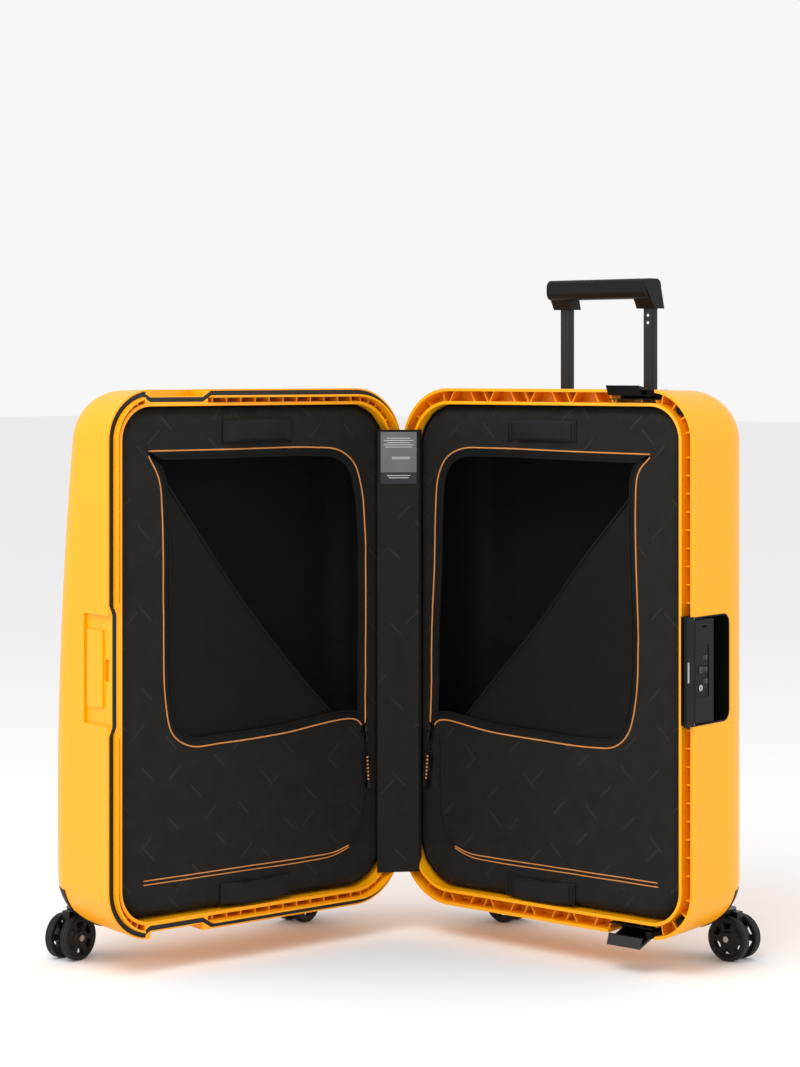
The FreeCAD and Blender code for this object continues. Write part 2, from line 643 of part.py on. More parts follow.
# ---------------------------------------------------------------- main lock and side handle
LEVER_OUTSIDE = "case_width + lever_proud"
LEVER_INSIDE = "case_width + lever_proud - lever_thickness"
LEVER_AXIS_X = "case_width + lever_proud - lever_thickness / 2"
LEVER_AXIS_Y = "lever_front + lever_thickness / 2"
LEVER_LOW = "lock_bottom + lever_end_gap"
LEVER_LENGTH = "lock_height - 2 * lever_end_gap"
DIALS = {"low": -1, "middle": 0, "high": 1}
DIAL_X = "case_width + lever_proud + dial_proud - dial_radius"
DIAL_MIDDLE = "lock_face_bottom + lock_face_height / 2 + 2"
KEY_HEIGHT = "lock_face_bottom + 12"
KEY_PLACE = "lock_face_start + 6.5"

pan = cut("lock_pan_hollow",
          common("lock_pan_block", outer_tubs["rear"],
                 pan_space("lock_pan_outside", "running", "rim_gap / 2")),
          pan_space("lock_pan_inside", "pan_wall", -1))
cover_notch = block("lock_cover_notch", "case_width + lever_proud - cover_thickness - running",
                    "case_width + 5", -1, "lever_front", "lock_bottom",
                    "lock_bottom + lock_height")
lever_pin_hole = rod("lever_pin_hole", Z_AXIS, "1 + running", LEVER_AXIS_X, LEVER_AXIS_Y,
                     "lock_bottom - 1", "lock_height + 2")
node("lock_pan", "rear", cut("lock_pan_cut", pan, cover_notch, lever_pin_hole))

cover_plate = block("lock_cover_plate", "case_width + lever_proud - cover_thickness",
                    LEVER_OUTSIDE, "-cover_reach", "lever_front - fit_gap", "lock_bottom + 0.5",
                    "lock_bottom + lock_height - 0.5")
bolt_low = "lock_bottom + (lock_height - bolt_height) / 2"
cover_slot = block("lock_cover_slot", "case_width - 5", "case_width + 5",
                   "-cover_reach + 2 - running", "-cover_reach + 2 + bolt_width + running",
                   bolt_low + " - running", bolt_low + " + bolt_height + running")
node("lock_cover", "rear", cut("lock_cover_cut", cover_plate, cover_slot))
node("lock_bolt", "rear",
     block("lock_bolt_block", "case_width + lever_proud - cover_thickness - 1",
           "case_width + lever_proud - 0.5", "-cover_reach + 2", "-cover_reach + 2 + bolt_width",
           bolt_low, bolt_low + " + bolt_height"))

lever_plate = block("lever_plate_block", LEVER_INSIDE, LEVER_OUTSIDE, LEVER_AXIS_Y,
                    "lever_depth", LEVER_LOW, f"{LEVER_LOW} + {LEVER_LENGTH}")
lever_barrel = rod("lever_barrel", Z_AXIS, "lever_thickness / 2", LEVER_AXIS_X, LEVER_AXIS_Y,
                   LEVER_LOW, LEVER_LENGTH)
lock_case = block("lock_case", "case_width - 11", "case_width - 3", "lock_face_start + 9",
                  "lock_face_start + 27", "lock_face_bottom - 3",
                  "lock_face_bottom + lock_face_height + 3")
lever_cuts = [
    block("lock_face_space", LEVER_OUTSIDE + " - lock_face_sink", LEVER_OUTSIDE + " + 1",
          "lock_face_start", "lock_face_start + lock_face_width", "lock_face_bottom",
          "lock_face_bottom + lock_face_height"),
    block("lever_window", "case_width - 5", "case_width + 5", "lever_depth - 25",
          "lever_depth - 15", "lock_bottom + lock_height - 14", "lock_bottom + lock_height - 12"),
    rod("lever_axis_hole", Z_AXIS, "1 + running", LEVER_AXIS_X, LEVER_AXIS_Y, "lock_bottom",
        "lock_height"),
    rod("dial_axle_hole", Z_AXIS, "1.2 + running", DIAL_X, "dial_place",
        "lock_face_bottom - 2", "lock_face_height + 4"),
    rod("key_hole", X_AXIS, "key_radius + running", "case_width - 12", KEY_PLACE, KEY_HEIGHT,
        20),
    block("button_hole", "case_width - 12", "case_width + 5",
          f"{KEY_PLACE} - button_size / 2 - running", f"{KEY_PLACE} + button_size / 2 + running",
          f"{DIAL_MIDDLE} - button_size / 2 - running",
          f"{DIAL_MIDDLE} + button_size / 2 + running")]
lever_cuts += [rod(f"dial_slot_{spot}", Z_AXIS, "dial_radius + fit_gap", DIAL_X, "dial_place",
                   f"{DIAL_MIDDLE} + {step} * dial_pitch - dial_thickness / 2 - fit_gap",
                   "dial_thickness + 2 * fit_gap") for spot, step in DIALS.items()]
node("lock_lever", "rear",
     cut("lock_lever_cut", fuse("lock_lever_solid", lever_plate, lever_barrel, lock_case),
         *lever_cuts))
node("lock_lever_pin", "rear",
     rod("lever_pin", Z_AXIS, 1, LEVER_AXIS_X, LEVER_AXIS_Y, "lock_bottom + 0.3",
         "lock_height - 0.6"))
node("dial_axle", "rear",
     rod("dial_axle_rod", Z_AXIS, 1.2, DIAL_X, "dial_place", "lock_face_bottom - 1",
         "lock_face_height + 2"))
for spot, step in DIALS.items():
    low = f"{DIAL_MIDDLE} + {step} * dial_pitch - dial_thickness / 2"
    wheel = rod(f"dial_disc_{spot}", Z_AXIS, "dial_radius", DIAL_X, "dial_place", low,
                "dial_thickness")
    bore = rod(f"dial_bore_{spot}", Z_AXIS, "1.2 + running", DIAL_X, "dial_place",
               f"{low} - 1", "dial_thickness + 2")
    node(f"lock_dial_{spot}", "rear", cut(f"dial_{spot}", wheel, bore))
key_barrel = rod("key_barrel", X_AXIS, "key_radius", "case_width - 5", KEY_PLACE, KEY_HEIGHT,
                 "5.5 + lever_proud")
key_slit = block("key_slit", "case_width + lever_proud - 2", "case_width + 5",
                 f"{KEY_PLACE} - 0.5", f"{KEY_PLACE} + 0.5", f"{KEY_HEIGHT} - 2.6",
                 f"{KEY_HEIGHT} + 2.6")
node("lock_key_cylinder", "rear", cut("key_cylinder", key_barrel, key_slit))
node("lock_button", "rear",
     block("lock_button_block", "case_width - 4", "case_width + lever_proud + 0.8",
           f"{KEY_PLACE} - button_size / 2", f"{KEY_PLACE} + button_size / 2",
           f"{DIAL_MIDDLE} - button_size / 2", f"{DIAL_MIDDLE} + button_size / 2"))


# ---------------------------------------------------------------- telescopic handle
POSTS = {"hinge_side": "handle_centre - post_spacing / 2",
         "lock_side": "handle_centre + post_spacing / 2"}
MIDDLE_TUBE_X = "inner_tube_x + 2 * (tube_gap + tube_wall)"
MIDDLE_TUBE_Y = "inner_tube_y + 2 * (tube_gap + tube_wall)"
OUTER_TUBE_X = "inner_tube_x + 4 * (tube_gap + tube_wall)"
OUTER_TUBE_Y = "inner_tube_y + 4 * (tube_gap + tube_wall)"
GRIP_BOTTOM = "grip_top - grip_height - socket_drop"


def post_block(name, x, width, depth, low, high):
    return block(name, f"{x} - ({width}) / 2", f"{x} + ({width}) / 2",
                 f"post_place - ({depth}) / 2", f"post_place + ({depth}) / 2", low, high)


def tube_pair(name, width, depth, low, high, radius):
    """Two posts of rectangular tube, open at both ends, with rounded long edges."""
    tubes = []
    for side, x in POSTS.items():
        outside = rounded(f"{name}_{side}_outside",
                          post_block(f"{name}_{side}_block", x, width, depth, low, high),
                          along(Z_AXIS, radius))
        inside = post_block(f"{name}_{side}_bore", x, f"{width} - 2 * tube_wall",
                            f"{depth} - 2 * tube_wall", f"({low}) - 1", f"({high}) + 1")
        tubes.append(cut(f"{name}_{side}", outside, inside))
    return tubes


node("handle_outer_tubes", "rear",
     *tube_pair("outer_tube", OUTER_TUBE_X, OUTER_TUBE_Y, "outer_tube_foot",
                "well_floor - 0.1", 2))
node("handle_middle_tubes", "rear",
     *tube_pair("middle_tube", MIDDLE_TUBE_X, MIDDLE_TUBE_Y, "well_floor + 2.4 - tube_length",
                "well_floor + 2.4", 1.2))
node("handle_inner_tubes", "rear",
     *tube_pair("inner_tube", "inner_tube_x", "inner_tube_y",
                f"{GRIP_BOTTOM} + 5 - tube_length", f"{GRIP_BOTTOM} + 5", 1.2))

bezel_space = block("bezel_space", "handle_centre - well_width / 2 + running",
                    "handle_centre + well_width / 2 - running", "well_start + running",
                    "well_end - running", "well_floor + running", "case_top")
bezel_inside = block("bezel_inside", "handle_centre - well_width / 2 + bezel_wall",
                     "handle_centre + well_width / 2 - bezel_wall", "well_start + bezel_wall",
                     "well_end - bezel_wall", "well_floor + bezel_wall", "case_top + 1")
bezel_holes = [post_block(f"bezel_hole_{side}", x, f"{MIDDLE_TUBE_X} + 0.6",
                          f"{MIDDLE_TUBE_Y} + 0.6", "well_floor - 1", "well_floor + 9")
               for side, x in POSTS.items()]
node("handle_bezel", "rear",
     cut("bezel", common("bezel_block", outer_tubs["rear"], bezel_space), bezel_inside,
         *bezel_holes))

grip_bar = rounded("grip_bar", block("grip_bar_block", "handle_centre - grip_width / 2",
                                     "handle_centre + grip_width / 2", "grip_start",
                                     "grip_start + grip_depth", "grip_top - grip_height",
                                     "grip_top"), along(X_AXIS, value("grip_edge")))


def grip_cheek(side, x):
    """The end of the grip, narrowing from the bar down to the socket on its post."""
    cheek = doc.addObject("Part::Wedge", f"grip_cheek_{side}")
    bind(cheek, Ymin=GRIP_BOTTOM, Ymax="grip_top - grip_edge",
         Xmin=f"{x} - socket_x / 2", Xmax=f"{x} + socket_x / 2",
         Zmin="-(post_place + socket_y / 2)", Zmax="-(post_place - socket_y / 2)",
         X2min=f"{x} - socket_x / 2 + socket_taper", X2max=f"{x} + socket_x / 2 - socket_taper",
         Z2min="-(grip_start + grip_depth - 1)", Z2max="-(grip_start + 1)")
    cheek.Placement.Rotation = FreeCAD.Rotation(X_AXIS, 90)
    return cheek


cheeks = [grip_cheek(side, x) for side, x in POSTS.items()]
tube_seats = [post_block(f"tube_seat_{side}", x, "inner_tube_x + 2 * running",
                         "inner_tube_y + 2 * running", f"{GRIP_BOTTOM} - 1",
                         f"{GRIP_BOTTOM} + 5 + running") for side, x in POSTS.items()]
BUTTON_Y = "grip_start + grip_depth / 2"
BUTTON_FLOOR = "grip_top - grip_button_height - grip_button_travel"


def grip_button(name, gap, low, high):
    half_x = f"grip_button_width / 2 + {gap}"
    half_y = f"grip_button_depth / 2 + {gap}"
    return rounded(name, block(name + "_block", f"handle_centre - ({half_x})",
                               f"handle_centre + {half_x}", f"{BUTTON_Y} - ({half_y})",
                               f"{BUTTON_Y} + {half_y}", low, high), along(Z_AXIS, 5))


node("handle_grip", "rear",
     cut("grip", fuse("grip_solid", grip_bar, *cheeks), *tube_seats,
         grip_button("grip_button_well", "fit_gap", BUTTON_FLOOR + " - 0.5", "grip_top + 1")))
node("handle_button", "rear",
     grip_button("grip_button", "0", "grip_top - grip_button_height", "grip_top - 1.2"))
node("handle_tube_buttons", "rear",
     *[rod(f"tube_button_{i}", Y_AXIS, 2, "handle_centre + post_spacing / 2",
           "post_place - inner_tube_y / 2 - 0.4", f"grip_top - {drop}", "0.4")
       for i, drop in enumerate((49, 59))])


# ---------------------------------------------------------------- casters
def wheel_body():
    """A wheel about the Y axis: bored hub, slotted web and a tread with two grooves."""
    body = new_body("wheel")
    rim, wide = "wheel_radius", "wheel_width"
    sketch = polygon(body, "XY_Plane", [
        ("axle_radius + running", "0"), (f"{rim} - 20", "0"), (f"{rim} - 18", "2.2"),
        (f"{rim} - 7", "2.2"), (f"{rim} - 5", "0.2"), (f"{rim} - 1.5", "0.2"), (rim, "1.6"),
        (rim, f"{wide} / 3 - 0.5"), (f"{rim} - 1", f"{wide} / 3 - 0.3"),
        (f"{rim} - 1", f"{wide} / 3 + 0.3"), (rim, f"{wide} / 3 + 0.5"),
        (rim, f"2 * {wide} / 3 - 0.5"), (f"{rim} - 1", f"2 * {wide} / 3 - 0.3"),
        (f"{rim} - 1", f"2 * {wide} / 3 + 0.3"), (rim, f"2 * {wide} / 3 + 0.5"),
        (rim, f"{wide} - 1.6"), (f"{rim} - 1.5", f"{wide} - 0.2"),
        (f"{rim} - 5", f"{wide} - 0.2"), (f"{rim} - 7", f"{wide} - 2.2"),
        (f"{rim} - 18", f"{wide} - 2.2"), (f"{rim} - 20", wide),
        ("axle_radius + running", wide)])
    turned = body.newObject("PartDesign::Revolution", "wheel_turned")
    turned.Profile = sketch
    turned.ReferenceAxis = (sketch, ["V_Axis"])
    turned.Angle = 360
    doc.recompute()
    slots = new_sketch(body, "XZ_Plane")
    for number, (x, z) in enumerate((("-4", f"{rim} - 16"), ("4", f"{rim} - 16"),
                                     ("6.5", f"{rim} - 8.5"), ("-6.5", f"{rim} - 8.5"))):
        slots.addGeometry(Part.Point(FreeCAD.Vector(value(x), value(z), 0)), True)
        place_point(slots, number, 1, x, z)
    for number in range(4):
        following = (number + 1) % 4
        first, second = slots.getPoint(number, 1), slots.getPoint(following, 1)
        side = slots.addGeometry(Part.LineSegment(first, second))
        slots.addConstraint(Sketcher.Constraint("Coincident", side, 1, number, 1))
        slots.addConstraint(Sketcher.Constraint("Coincident", side, 2, following, 1))
    pocket = body.newObject("PartDesign::Pocket", "wheel_slot")
    pocket.Profile = slots
    pocket.Type = "ThroughAll"
    pocket.Midplane = True
    doc.recompute()
    pattern = body.newObject("PartDesign::PolarPattern", "wheel_slots")
    pattern.Originals = [pocket]
    pattern.Axis = (body.Origin.OriginFeatures[1], [""])
    pattern.Angle = 360
    pattern.Occurrences = 6
    body.Tip = pattern
    doc.recompute()
    return body


FORK_TOP = "well_roof - 0.4"
fork_disc = rod("fork_disc_rod", Z_AXIS, "fork_disc", 0, 0, f"{FORK_TOP} - fork_plate",
                "fork_plate")
fork_web = block("fork_web", "-9", "caster_trail + 9", "-fork_width / 2", "fork_width / 2",
                 "wheel_radius - 8", f"{FORK_TOP} - fork_plate / 2")


def fork_edge(edge):
    """Rounds the web's lower corners around the axle and trims the front one."""
    start, end = edge.Vertexes[0].Point, edge.Vertexes[-1].Point
    across = abs(end.x - start.x) + abs(end.z - start.z) < EPSILON
    return 7.5 if across and start.z < value("wheel_radius") else 0


fork_round = rounded("fork_round", fork_web, fork_edge)
fork_bores = [rod("fork_bore", Y_AXIS, "axle_radius + running", "caster_trail", "-20",
                  "wheel_radius", 40),
              rod("fork_stem_bore", Z_AXIS, "stem_radius + running", 0, 0,
                  f"{FORK_TOP} - fork_plate + 1", 10)]
fork = cut("fork", fuse("fork_solid", fork_disc, fork_round), *fork_bores)
half_axle = "wheel_spacing / 2 + wheel_width / 2"
axle = rod("axle", Y_AXIS, "axle_radius", "caster_trail", f"-({half_axle}) - 0.3",
           "wheel_radius", f"2 * ({half_axle}) + 0.6")
caps = [rod(f"axle_cap_{i}", Y_AXIS, "axle_radius + 2", "caster_trail", y, "wheel_radius", 1)
        for i, y in enumerate((f"-({half_axle}) - 1.2", f"{half_axle} + 0.2"))]
stem = rod("stem", Z_AXIS, "stem_radius", 0, 0, f"{FORK_TOP} - fork_plate + 1.1",
           "roof_thickness + fork_plate - 1")
steel = group("caster_steel", fuse("axle_whole", axle, *caps), stem)
wheel = wheel_body()
wheel_low = group("wheel_low", wheel)
wheel_low.Placement = FreeCAD.Placement(FreeCAD.Vector(
    value("caster_trail"), value("-wheel_spacing / 2 - wheel_width / 2"),
    value("wheel_radius")), FreeCAD.Rotation())
wheel_high = group("wheel_high", wheel)
wheel_high.Placement = FreeCAD.Placement(FreeCAD.Vector(
    value("caster_trail"), value("wheel_spacing / 2 - wheel_width / 2"),
    value("wheel_radius")), FreeCAD.Rotation())
for half in ("rear", "front"):
    for side, x in CASTERS.items():
        turn = -value("front_caster_angle") if half == "front" else 0
        spot = FreeCAD.Placement(FreeCAD.Vector(value(x), value("caster_place"), 0),
                                 FreeCAD.Rotation(Z_AXIS, turn))
        name = f"{half}_{side}"
        node(f"caster_fork_{name}", half, fork, local=spot)
        node(f"caster_steel_{name}", half, steel, local=spot)
        node(f"wheel_inner_{name}", half, wheel_low, local=spot)
        node(f"wheel_outer_{name}", half, wheel_high, local=spot)
    node(f"wheel_housings_{half}", half,
         *[wheel_housing(half, side) for side in CASTERS])


# ---------------------------------------------------------------- soft inside
LINING_INSET = "rim_width + panel_gap + 0.4"


def lining_block(name, half, extra, front):
    """The lining's block at the given extra inset, rounded at the back."""
    inset = f"{LINING_INSET} + {extra}"
    box = block(name + "_block", f"hinge_offset + {inset}", f"case_width - ({inset})", front,
                f"{half}_lining_depth - ({extra})", f"lining_low + {extra}",
                f"case_top - ({inset})")

    def radius_of(edge):
        start, end = edge.Vertexes[0].Point, edge.Vertexes[-1].Point
        at_back = min(start.y, end.y) > value(front) + 1
        depthwise = abs(end.y - start.y) > 1
        return value("lining_round") - value(extra) if at_back or depthwise else 0
    return rounded(name, box, radius_of)


def lining(half, spaces):
    """A thin bag open towards the rim, dented around the pieces listed in spaces."""
    front = "panel_start + panel_thickness + panel_gap"
    outside = lining_block(f"{half}_lining_outside", half, "0", front)
    inside = lining_block(f"{half}_lining_inside", half, "lining_wall", f"{front} - 1")
    if spaces:
        outside = cut(f"{half}_lining_dented", outside, *[space("0") for space in spaces])
        inside = cut(f"{half}_lining_room", inside, *[space("lining_wall") for space in spaces])
    return cut(f"{half}_lining_bag", outside, inside)


def pan_dent(grow):
    name = f"pan_dent_{'wide' if grow == '0' else 'tight'}"
    return block(name, f"case_width - pan_well - pan_wall - lining_gap - {grow}", "case_width",
                 -1, f"lock_depth + lining_gap + {grow}", f"lock_bottom - lining_gap - {grow}",
                 f"lock_bottom + lock_height + lining_gap + {grow}")


def bezel_dent(grow):
    name = f"bezel_dent_{'wide' if grow == '0' else 'tight'}"
    half_width = f"well_width / 2 + lining_gap + {grow}"
    return block(name, f"handle_centre - ({half_width})", f"handle_centre + {half_width}",
                 f"well_start - lining_gap - {grow}", "rear_depth",
                 f"well_floor - lining_gap - {grow}", "case_top")


def divider(half):
    """The flat panel across the half, with its zipped window."""
    name = f"{half}_panel"
    panel = outline(name + "_sheet", "rim_width + panel_gap", "panel_start",
                    "panel_start + panel_thickness")
    window = block(name + "_window", "window_hinge_side", "case_width - window_lock_side", 0,
                   20, "window_bottom + case_bottom", "case_top - window_top")
    return cut(name, panel, rounded(name + "_window_round", window,
                                    along(Y_AXIS, value("window_round"))))


def flap(half):
    """The window's cloth flap, hanging inside as a triangle towards the lock side."""
    body = new_body(f"{half}_flap_cloth")
    lock_edge = "case_width - window_lock_side + window_inset"
    low = "window_bottom + case_bottom - window_inset"
    sketch = polygon(body, "XZ_Plane", [("window_hinge_side + window_inset", low),
                                        (lock_edge, low), (lock_edge, "case_top - flap_drop")])
    pad(body, sketch, "flap_thickness", back=True)
    bind(body, Placement__Base__y="panel_start + panel_thickness + flap_gap")
    return body


def grab_loop(half, end, x, low):
    """A webbing loop that stands a little proud of the panel, sewn down at both ends."""
    name = f"{half}_{end}_loop"
    base = "panel_start - 0.1"
    strap = block(name + "_strap", f"{x} - loop_width / 2", f"{x} + loop_width / 2",
                  f"{base} - loop_rise - loop_thickness", base, low, f"{low} + loop_height")
    room = block(name + "_room", f"{x} - loop_width / 2 + 7", f"{x} + loop_width / 2 - 7",
                 f"{base} - loop_rise", "panel_start", f"{low} - 1", f"{low} + loop_height + 1")
    return cut(name, strap, room)


def zip_pull(half):
    """A slider on the window's edge with its long puller hanging down."""
    name = f"{half}_pull"
    x, z = "window_hinge_side + 8", "window_bottom + case_bottom - 4"
    slider = block(name + "_slider", f"{x} - 6", f"{x} + 6", "panel_start - 3.4",
                   "panel_start - 0.2", f"{z} - 7", f"{z} + 7")
    tag = block(name + "_tag", f"{x} - pull_width / 2", f"{x} + pull_width / 2",
                "panel_start - 3", "panel_start - 1", f"{z} - pull_length", f"{z} - 6")
    return fuse(name, slider, tag)


spaces = {"rear": [pan_dent, bezel_dent], "front": []}
for half in ("rear", "front"):
    node(f"lining_{half}", half, lining(half, spaces[half]))
    node(f"divider_{half}", half, divider(half))
    node(f"flap_{half}", half, flap(half))
    node(f"grab_loops_{half}", half, grab_loop(half, "top", "loop_place", "case_top - 71"),
         grab_loop(half, "bottom", "loop_place", "case_bottom + 37"))
    node(f"zip_pull_{half}", half, zip_pull(half))

cover_front_face = value("panel_start - cover_proud")
rear_edge = FreeCAD.Vector(value("cover_rear"), cover_front_face, 0)
front_edge = rest_placement("front").multVec(
    FreeCAD.Vector(value("cover_front"), -cover_front_face, 0))
chord = front_edge - rear_edge
COVER_WIDTH = f"{chord.Length:.4f} - cover_gap"
cover_local = FreeCAD.Placement(rear_edge, FreeCAD.Rotation(X_AXIS, chord))
cover_sheet = block("cover_sheet_block", 0, COVER_WIDTH, 0, "cover_sheet",
                    "case_bottom + cover_inset", "case_top - cover_inset - 16")
LABEL_TOP = "case_top - cover_inset - 18"
label_sheet = block("label_sheet_block", f"({COVER_WIDTH} - label_width) / 2",
                    f"({COVER_WIDTH} + label_width) / 2", "cover_sheet + 0.1",
                    "cover_sheet + 0.1 + label_sheet", f"{LABEL_TOP} - label_height",
                    LABEL_TOP)
node("hinge_cover", "rear", cover_sheet, local=cover_local)
node("care_label", "rear", label_sheet, local=cover_local)

# ---------------------------------------------------------------- corner fasteners
fasteners = []
for end, sense in ENDS.items():
    ray = math.radians(45) * sense
    corner_z = f"case_{end} - ({sense} * lock_corner)"
    spread = "lock_corner - (skin_edge + rim_width - lip) / 2"
    fasteners.append(rod(f"{end}_fastener", Y_AXIS, "screw_radius",
                         f"case_width - lock_corner + ({spread}) * {math.cos(ray):.6f}",
                         "rib_recess - screw_height",
                         f"{corner_z} + ({spread}) * ({math.sin(ray):.6f})",
                         "channel_depth - rib_recess + screw_height"))
node("rim_fasteners", "rear", *fasteners)


# ---------------------------------------------------------------- checks and files
def finish():
    doc.recompute()
    for thing in doc.Objects:
        if {"Invalid", "Error"} & set(thing.State):
            raise RuntimeError(f"{thing.Name} did not build: {thing.State}")
    for name, piece in nodes.items():
        if piece.Shape.isNull() or not piece.Shape.isValid():
            raise RuntimeError(f"{name} has no valid shape")
    whole = FreeCAD.BoundBox()
    for piece in nodes.values():
        whole.add(piece.Shape.BoundBox)
    shift = FreeCAD.Vector(-whole.Center.x, -whole.Center.y, -whole.ZMin)
    os.makedirs("parts", exist_ok=True)
    for name, piece in nodes.items():
        placement = FreeCAD.Placement(piece.Placement)
        placement.Base = placement.Base + shift
        piece.Placement = placement
        piece.Shape.exportStep(f"parts/{name}.step")
    print("origin shift", [round(c, 3) for c in shift], "nodes", len(nodes))


finish()
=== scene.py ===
# %% [markdown]
# # A hard shell suitcase, standing open like a book
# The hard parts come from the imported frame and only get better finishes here. Everything that is
# sewn is modelled in this script: linings, dividers with their zip windows, flaps, webbing loops,
# zip pulls, the strip over the hinges and its label. Each cell below is one step.

# %% The frame and the half frame
import json
import math

import bpy
import numpy as np
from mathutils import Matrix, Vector, geometry, noise


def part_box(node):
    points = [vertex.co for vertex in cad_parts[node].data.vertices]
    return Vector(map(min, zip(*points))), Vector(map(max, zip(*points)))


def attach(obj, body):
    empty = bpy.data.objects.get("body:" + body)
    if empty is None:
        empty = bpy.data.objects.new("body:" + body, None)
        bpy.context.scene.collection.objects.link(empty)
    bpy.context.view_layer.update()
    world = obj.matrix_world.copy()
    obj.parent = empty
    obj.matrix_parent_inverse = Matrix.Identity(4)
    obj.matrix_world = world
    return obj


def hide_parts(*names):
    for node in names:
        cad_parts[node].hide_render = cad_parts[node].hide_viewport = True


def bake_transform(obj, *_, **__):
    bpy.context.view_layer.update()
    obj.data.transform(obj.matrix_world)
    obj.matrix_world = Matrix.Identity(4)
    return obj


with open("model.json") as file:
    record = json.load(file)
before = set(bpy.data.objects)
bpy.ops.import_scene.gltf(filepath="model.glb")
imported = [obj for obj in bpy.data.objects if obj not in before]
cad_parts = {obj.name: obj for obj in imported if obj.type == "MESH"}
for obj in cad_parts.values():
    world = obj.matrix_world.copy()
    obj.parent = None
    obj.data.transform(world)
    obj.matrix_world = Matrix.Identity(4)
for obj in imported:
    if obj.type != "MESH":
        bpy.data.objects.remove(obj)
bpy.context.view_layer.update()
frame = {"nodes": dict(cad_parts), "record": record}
nodes = frame["nodes"]

MM = 0.001
HINGE_OFFSET = 0.6
OPEN_ANGLE = math.radians(100)
pins_low, pins_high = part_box("hinge_pins")
HINGE = (pins_low + pins_high) / 2
shell_low, shell_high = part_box("rear_shell")
CASE_LOW, CASE_HIGH = shell_low.z / MM, shell_high.z / MM
CASE_WIDTH = (shell_high.x - HINGE.x) / MM
print("case from", round(CASE_LOW), "to", round(CASE_HIGH), "mm, width", round(CASE_WIDTH))

# %% [markdown]
# Both halves are mirror twins, so each sewn piece is drawn once, in millimetres: u runs from the
# hinge to the lock side, v from the rim into the half, and z up. `at` turns that into a point of
# the frame for the rear half or for the front half, which is swung open by the opening angle.

# %% From the half frame to the row frame
def at(half, u, v, z):
    if half == "rear":
        x, y = u, v
    else:
        x = u * math.cos(OPEN_ANGLE) - v * math.sin(OPEN_ANGLE)
        y = -u * math.sin(OPEN_ANGLE) - v * math.cos(OPEN_ANGLE)
    return Vector((HINGE.x + x * MM, HINGE.y + y * MM, z * MM))


print("hinge axis at", [round(c, 4) for c in HINGE])

# %% [markdown]
# ## Materials
# A small wrapper lets shader maths be written as ordinary arithmetic. `Wire` stands for one
# output socket, and `Graph` makes nodes and links for one material.

# %% A wrapper for shader sockets
class Graph:
    def __init__(self, name):
        self.material = bpy.data.materials.new(name)
        self.material.use_nodes = True
        self.tree = self.material.node_tree
        self.shader = self.tree.nodes["Principled BSDF"]

    def node(self, kind, values=None, output=0, **settings):
        """Any node: its settings by name, and its inputs as numbers or wires."""
        made = self.tree.nodes.new(kind)
        for key, setting in settings.items():
            setattr(made, key, setting)
        for key, value in (values or {}).items():
            if isinstance(value, Wire):
                self.tree.links.new(value.socket, made.inputs[key])
            else:
                made.inputs[key].default_value = value
        return Wire(self, made.outputs[output])

    def constant(self, **values):
        for key, value in values.items():
            self.shader.inputs[key.replace("_", " ")].default_value = value

    def feed(self, key, wire):
        self.tree.links.new(wire.socket, self.shader.inputs[key])

    def mix(self, amount, first, second):
        """A colour between two colours, by a wire from 0 to 1."""
        return self.node("ShaderNodeMix", {0: amount, 6: first, 7: second}, output=2,
                         data_type="RGBA")

    def bump(self, height, strength, distance):
        wire = self.node("ShaderNodeBump", {"Height": height, "Strength": strength,
                                            "Distance": distance})
        self.feed("Normal", wire)


class Wire:
    def __init__(self, graph, socket):
        self.graph, self.socket = graph, socket

    def math(self, operation, other=0.0, swap=False):
        pair = {0: other, 1: self} if swap else {0: self, 1: other}
        return self.graph.node("ShaderNodeMath", pair, operation=operation)

    def __add__(self, other):
        return self.math("ADD", other)

    def __radd__(self, other):
        return self.math("ADD", other, swap=True)

    def __sub__(self, other):
        return self.math("SUBTRACT", other)

    def __rsub__(self, other):
        return self.math("SUBTRACT", other, swap=True)

    def __mul__(self, other):
        return self.math("MULTIPLY", other)

    def __rmul__(self, other):
        return self.math("MULTIPLY", other, swap=True)

    def __lt__(self, other):
        return self.math("LESS_THAN", other)


def linear(red, green, blue):
    """A colour given as it is seen, 0 to 255, turned into light."""
    seen = [channel / 255 for channel in (red, green, blue)]
    light = [c / 12.92 if c < 0.04045 else ((c + 0.055) / 1.055) ** 2.4 for c in seen]
    return (*light, 1.0)


print("shader tools ready")

# %% [markdown]
# ### Plastics, metal and rubber
# Every hard finish is a Principled shader with a fine grain: noise that moves the roughness a
# little and, where the mould is textured, gives a shallow bump.

# %% Hard finishes
def hard(name, colour, roughness, metallic=0.0, grain=900.0, depth=0.0, coat=0.0, vary=0.06,
         shine=0.3):
    graph = Graph(name)
    spot = graph.node("ShaderNodeTexCoord", output=3)
    fine = graph.node("ShaderNodeTexNoise", {"Vector": spot, "Scale": grain, "Detail": 2.0})
    broad = graph.node("ShaderNodeTexNoise", {"Vector": spot, "Scale": 9.0, "Detail": 3.0})
    graph.constant(Metallic=metallic, Coat_Weight=coat, Specular_IOR_Level=shine)
    graph.feed("Roughness", roughness - vary / 2 + broad * vary)
    light = [min(1.0, c * 1.05) for c in colour[:3]]
    graph.feed("Base Color", graph.mix(broad, colour, (*light, 1.0)))
    if depth:
        graph.bump(fine, 0.35, depth)
    return graph.material


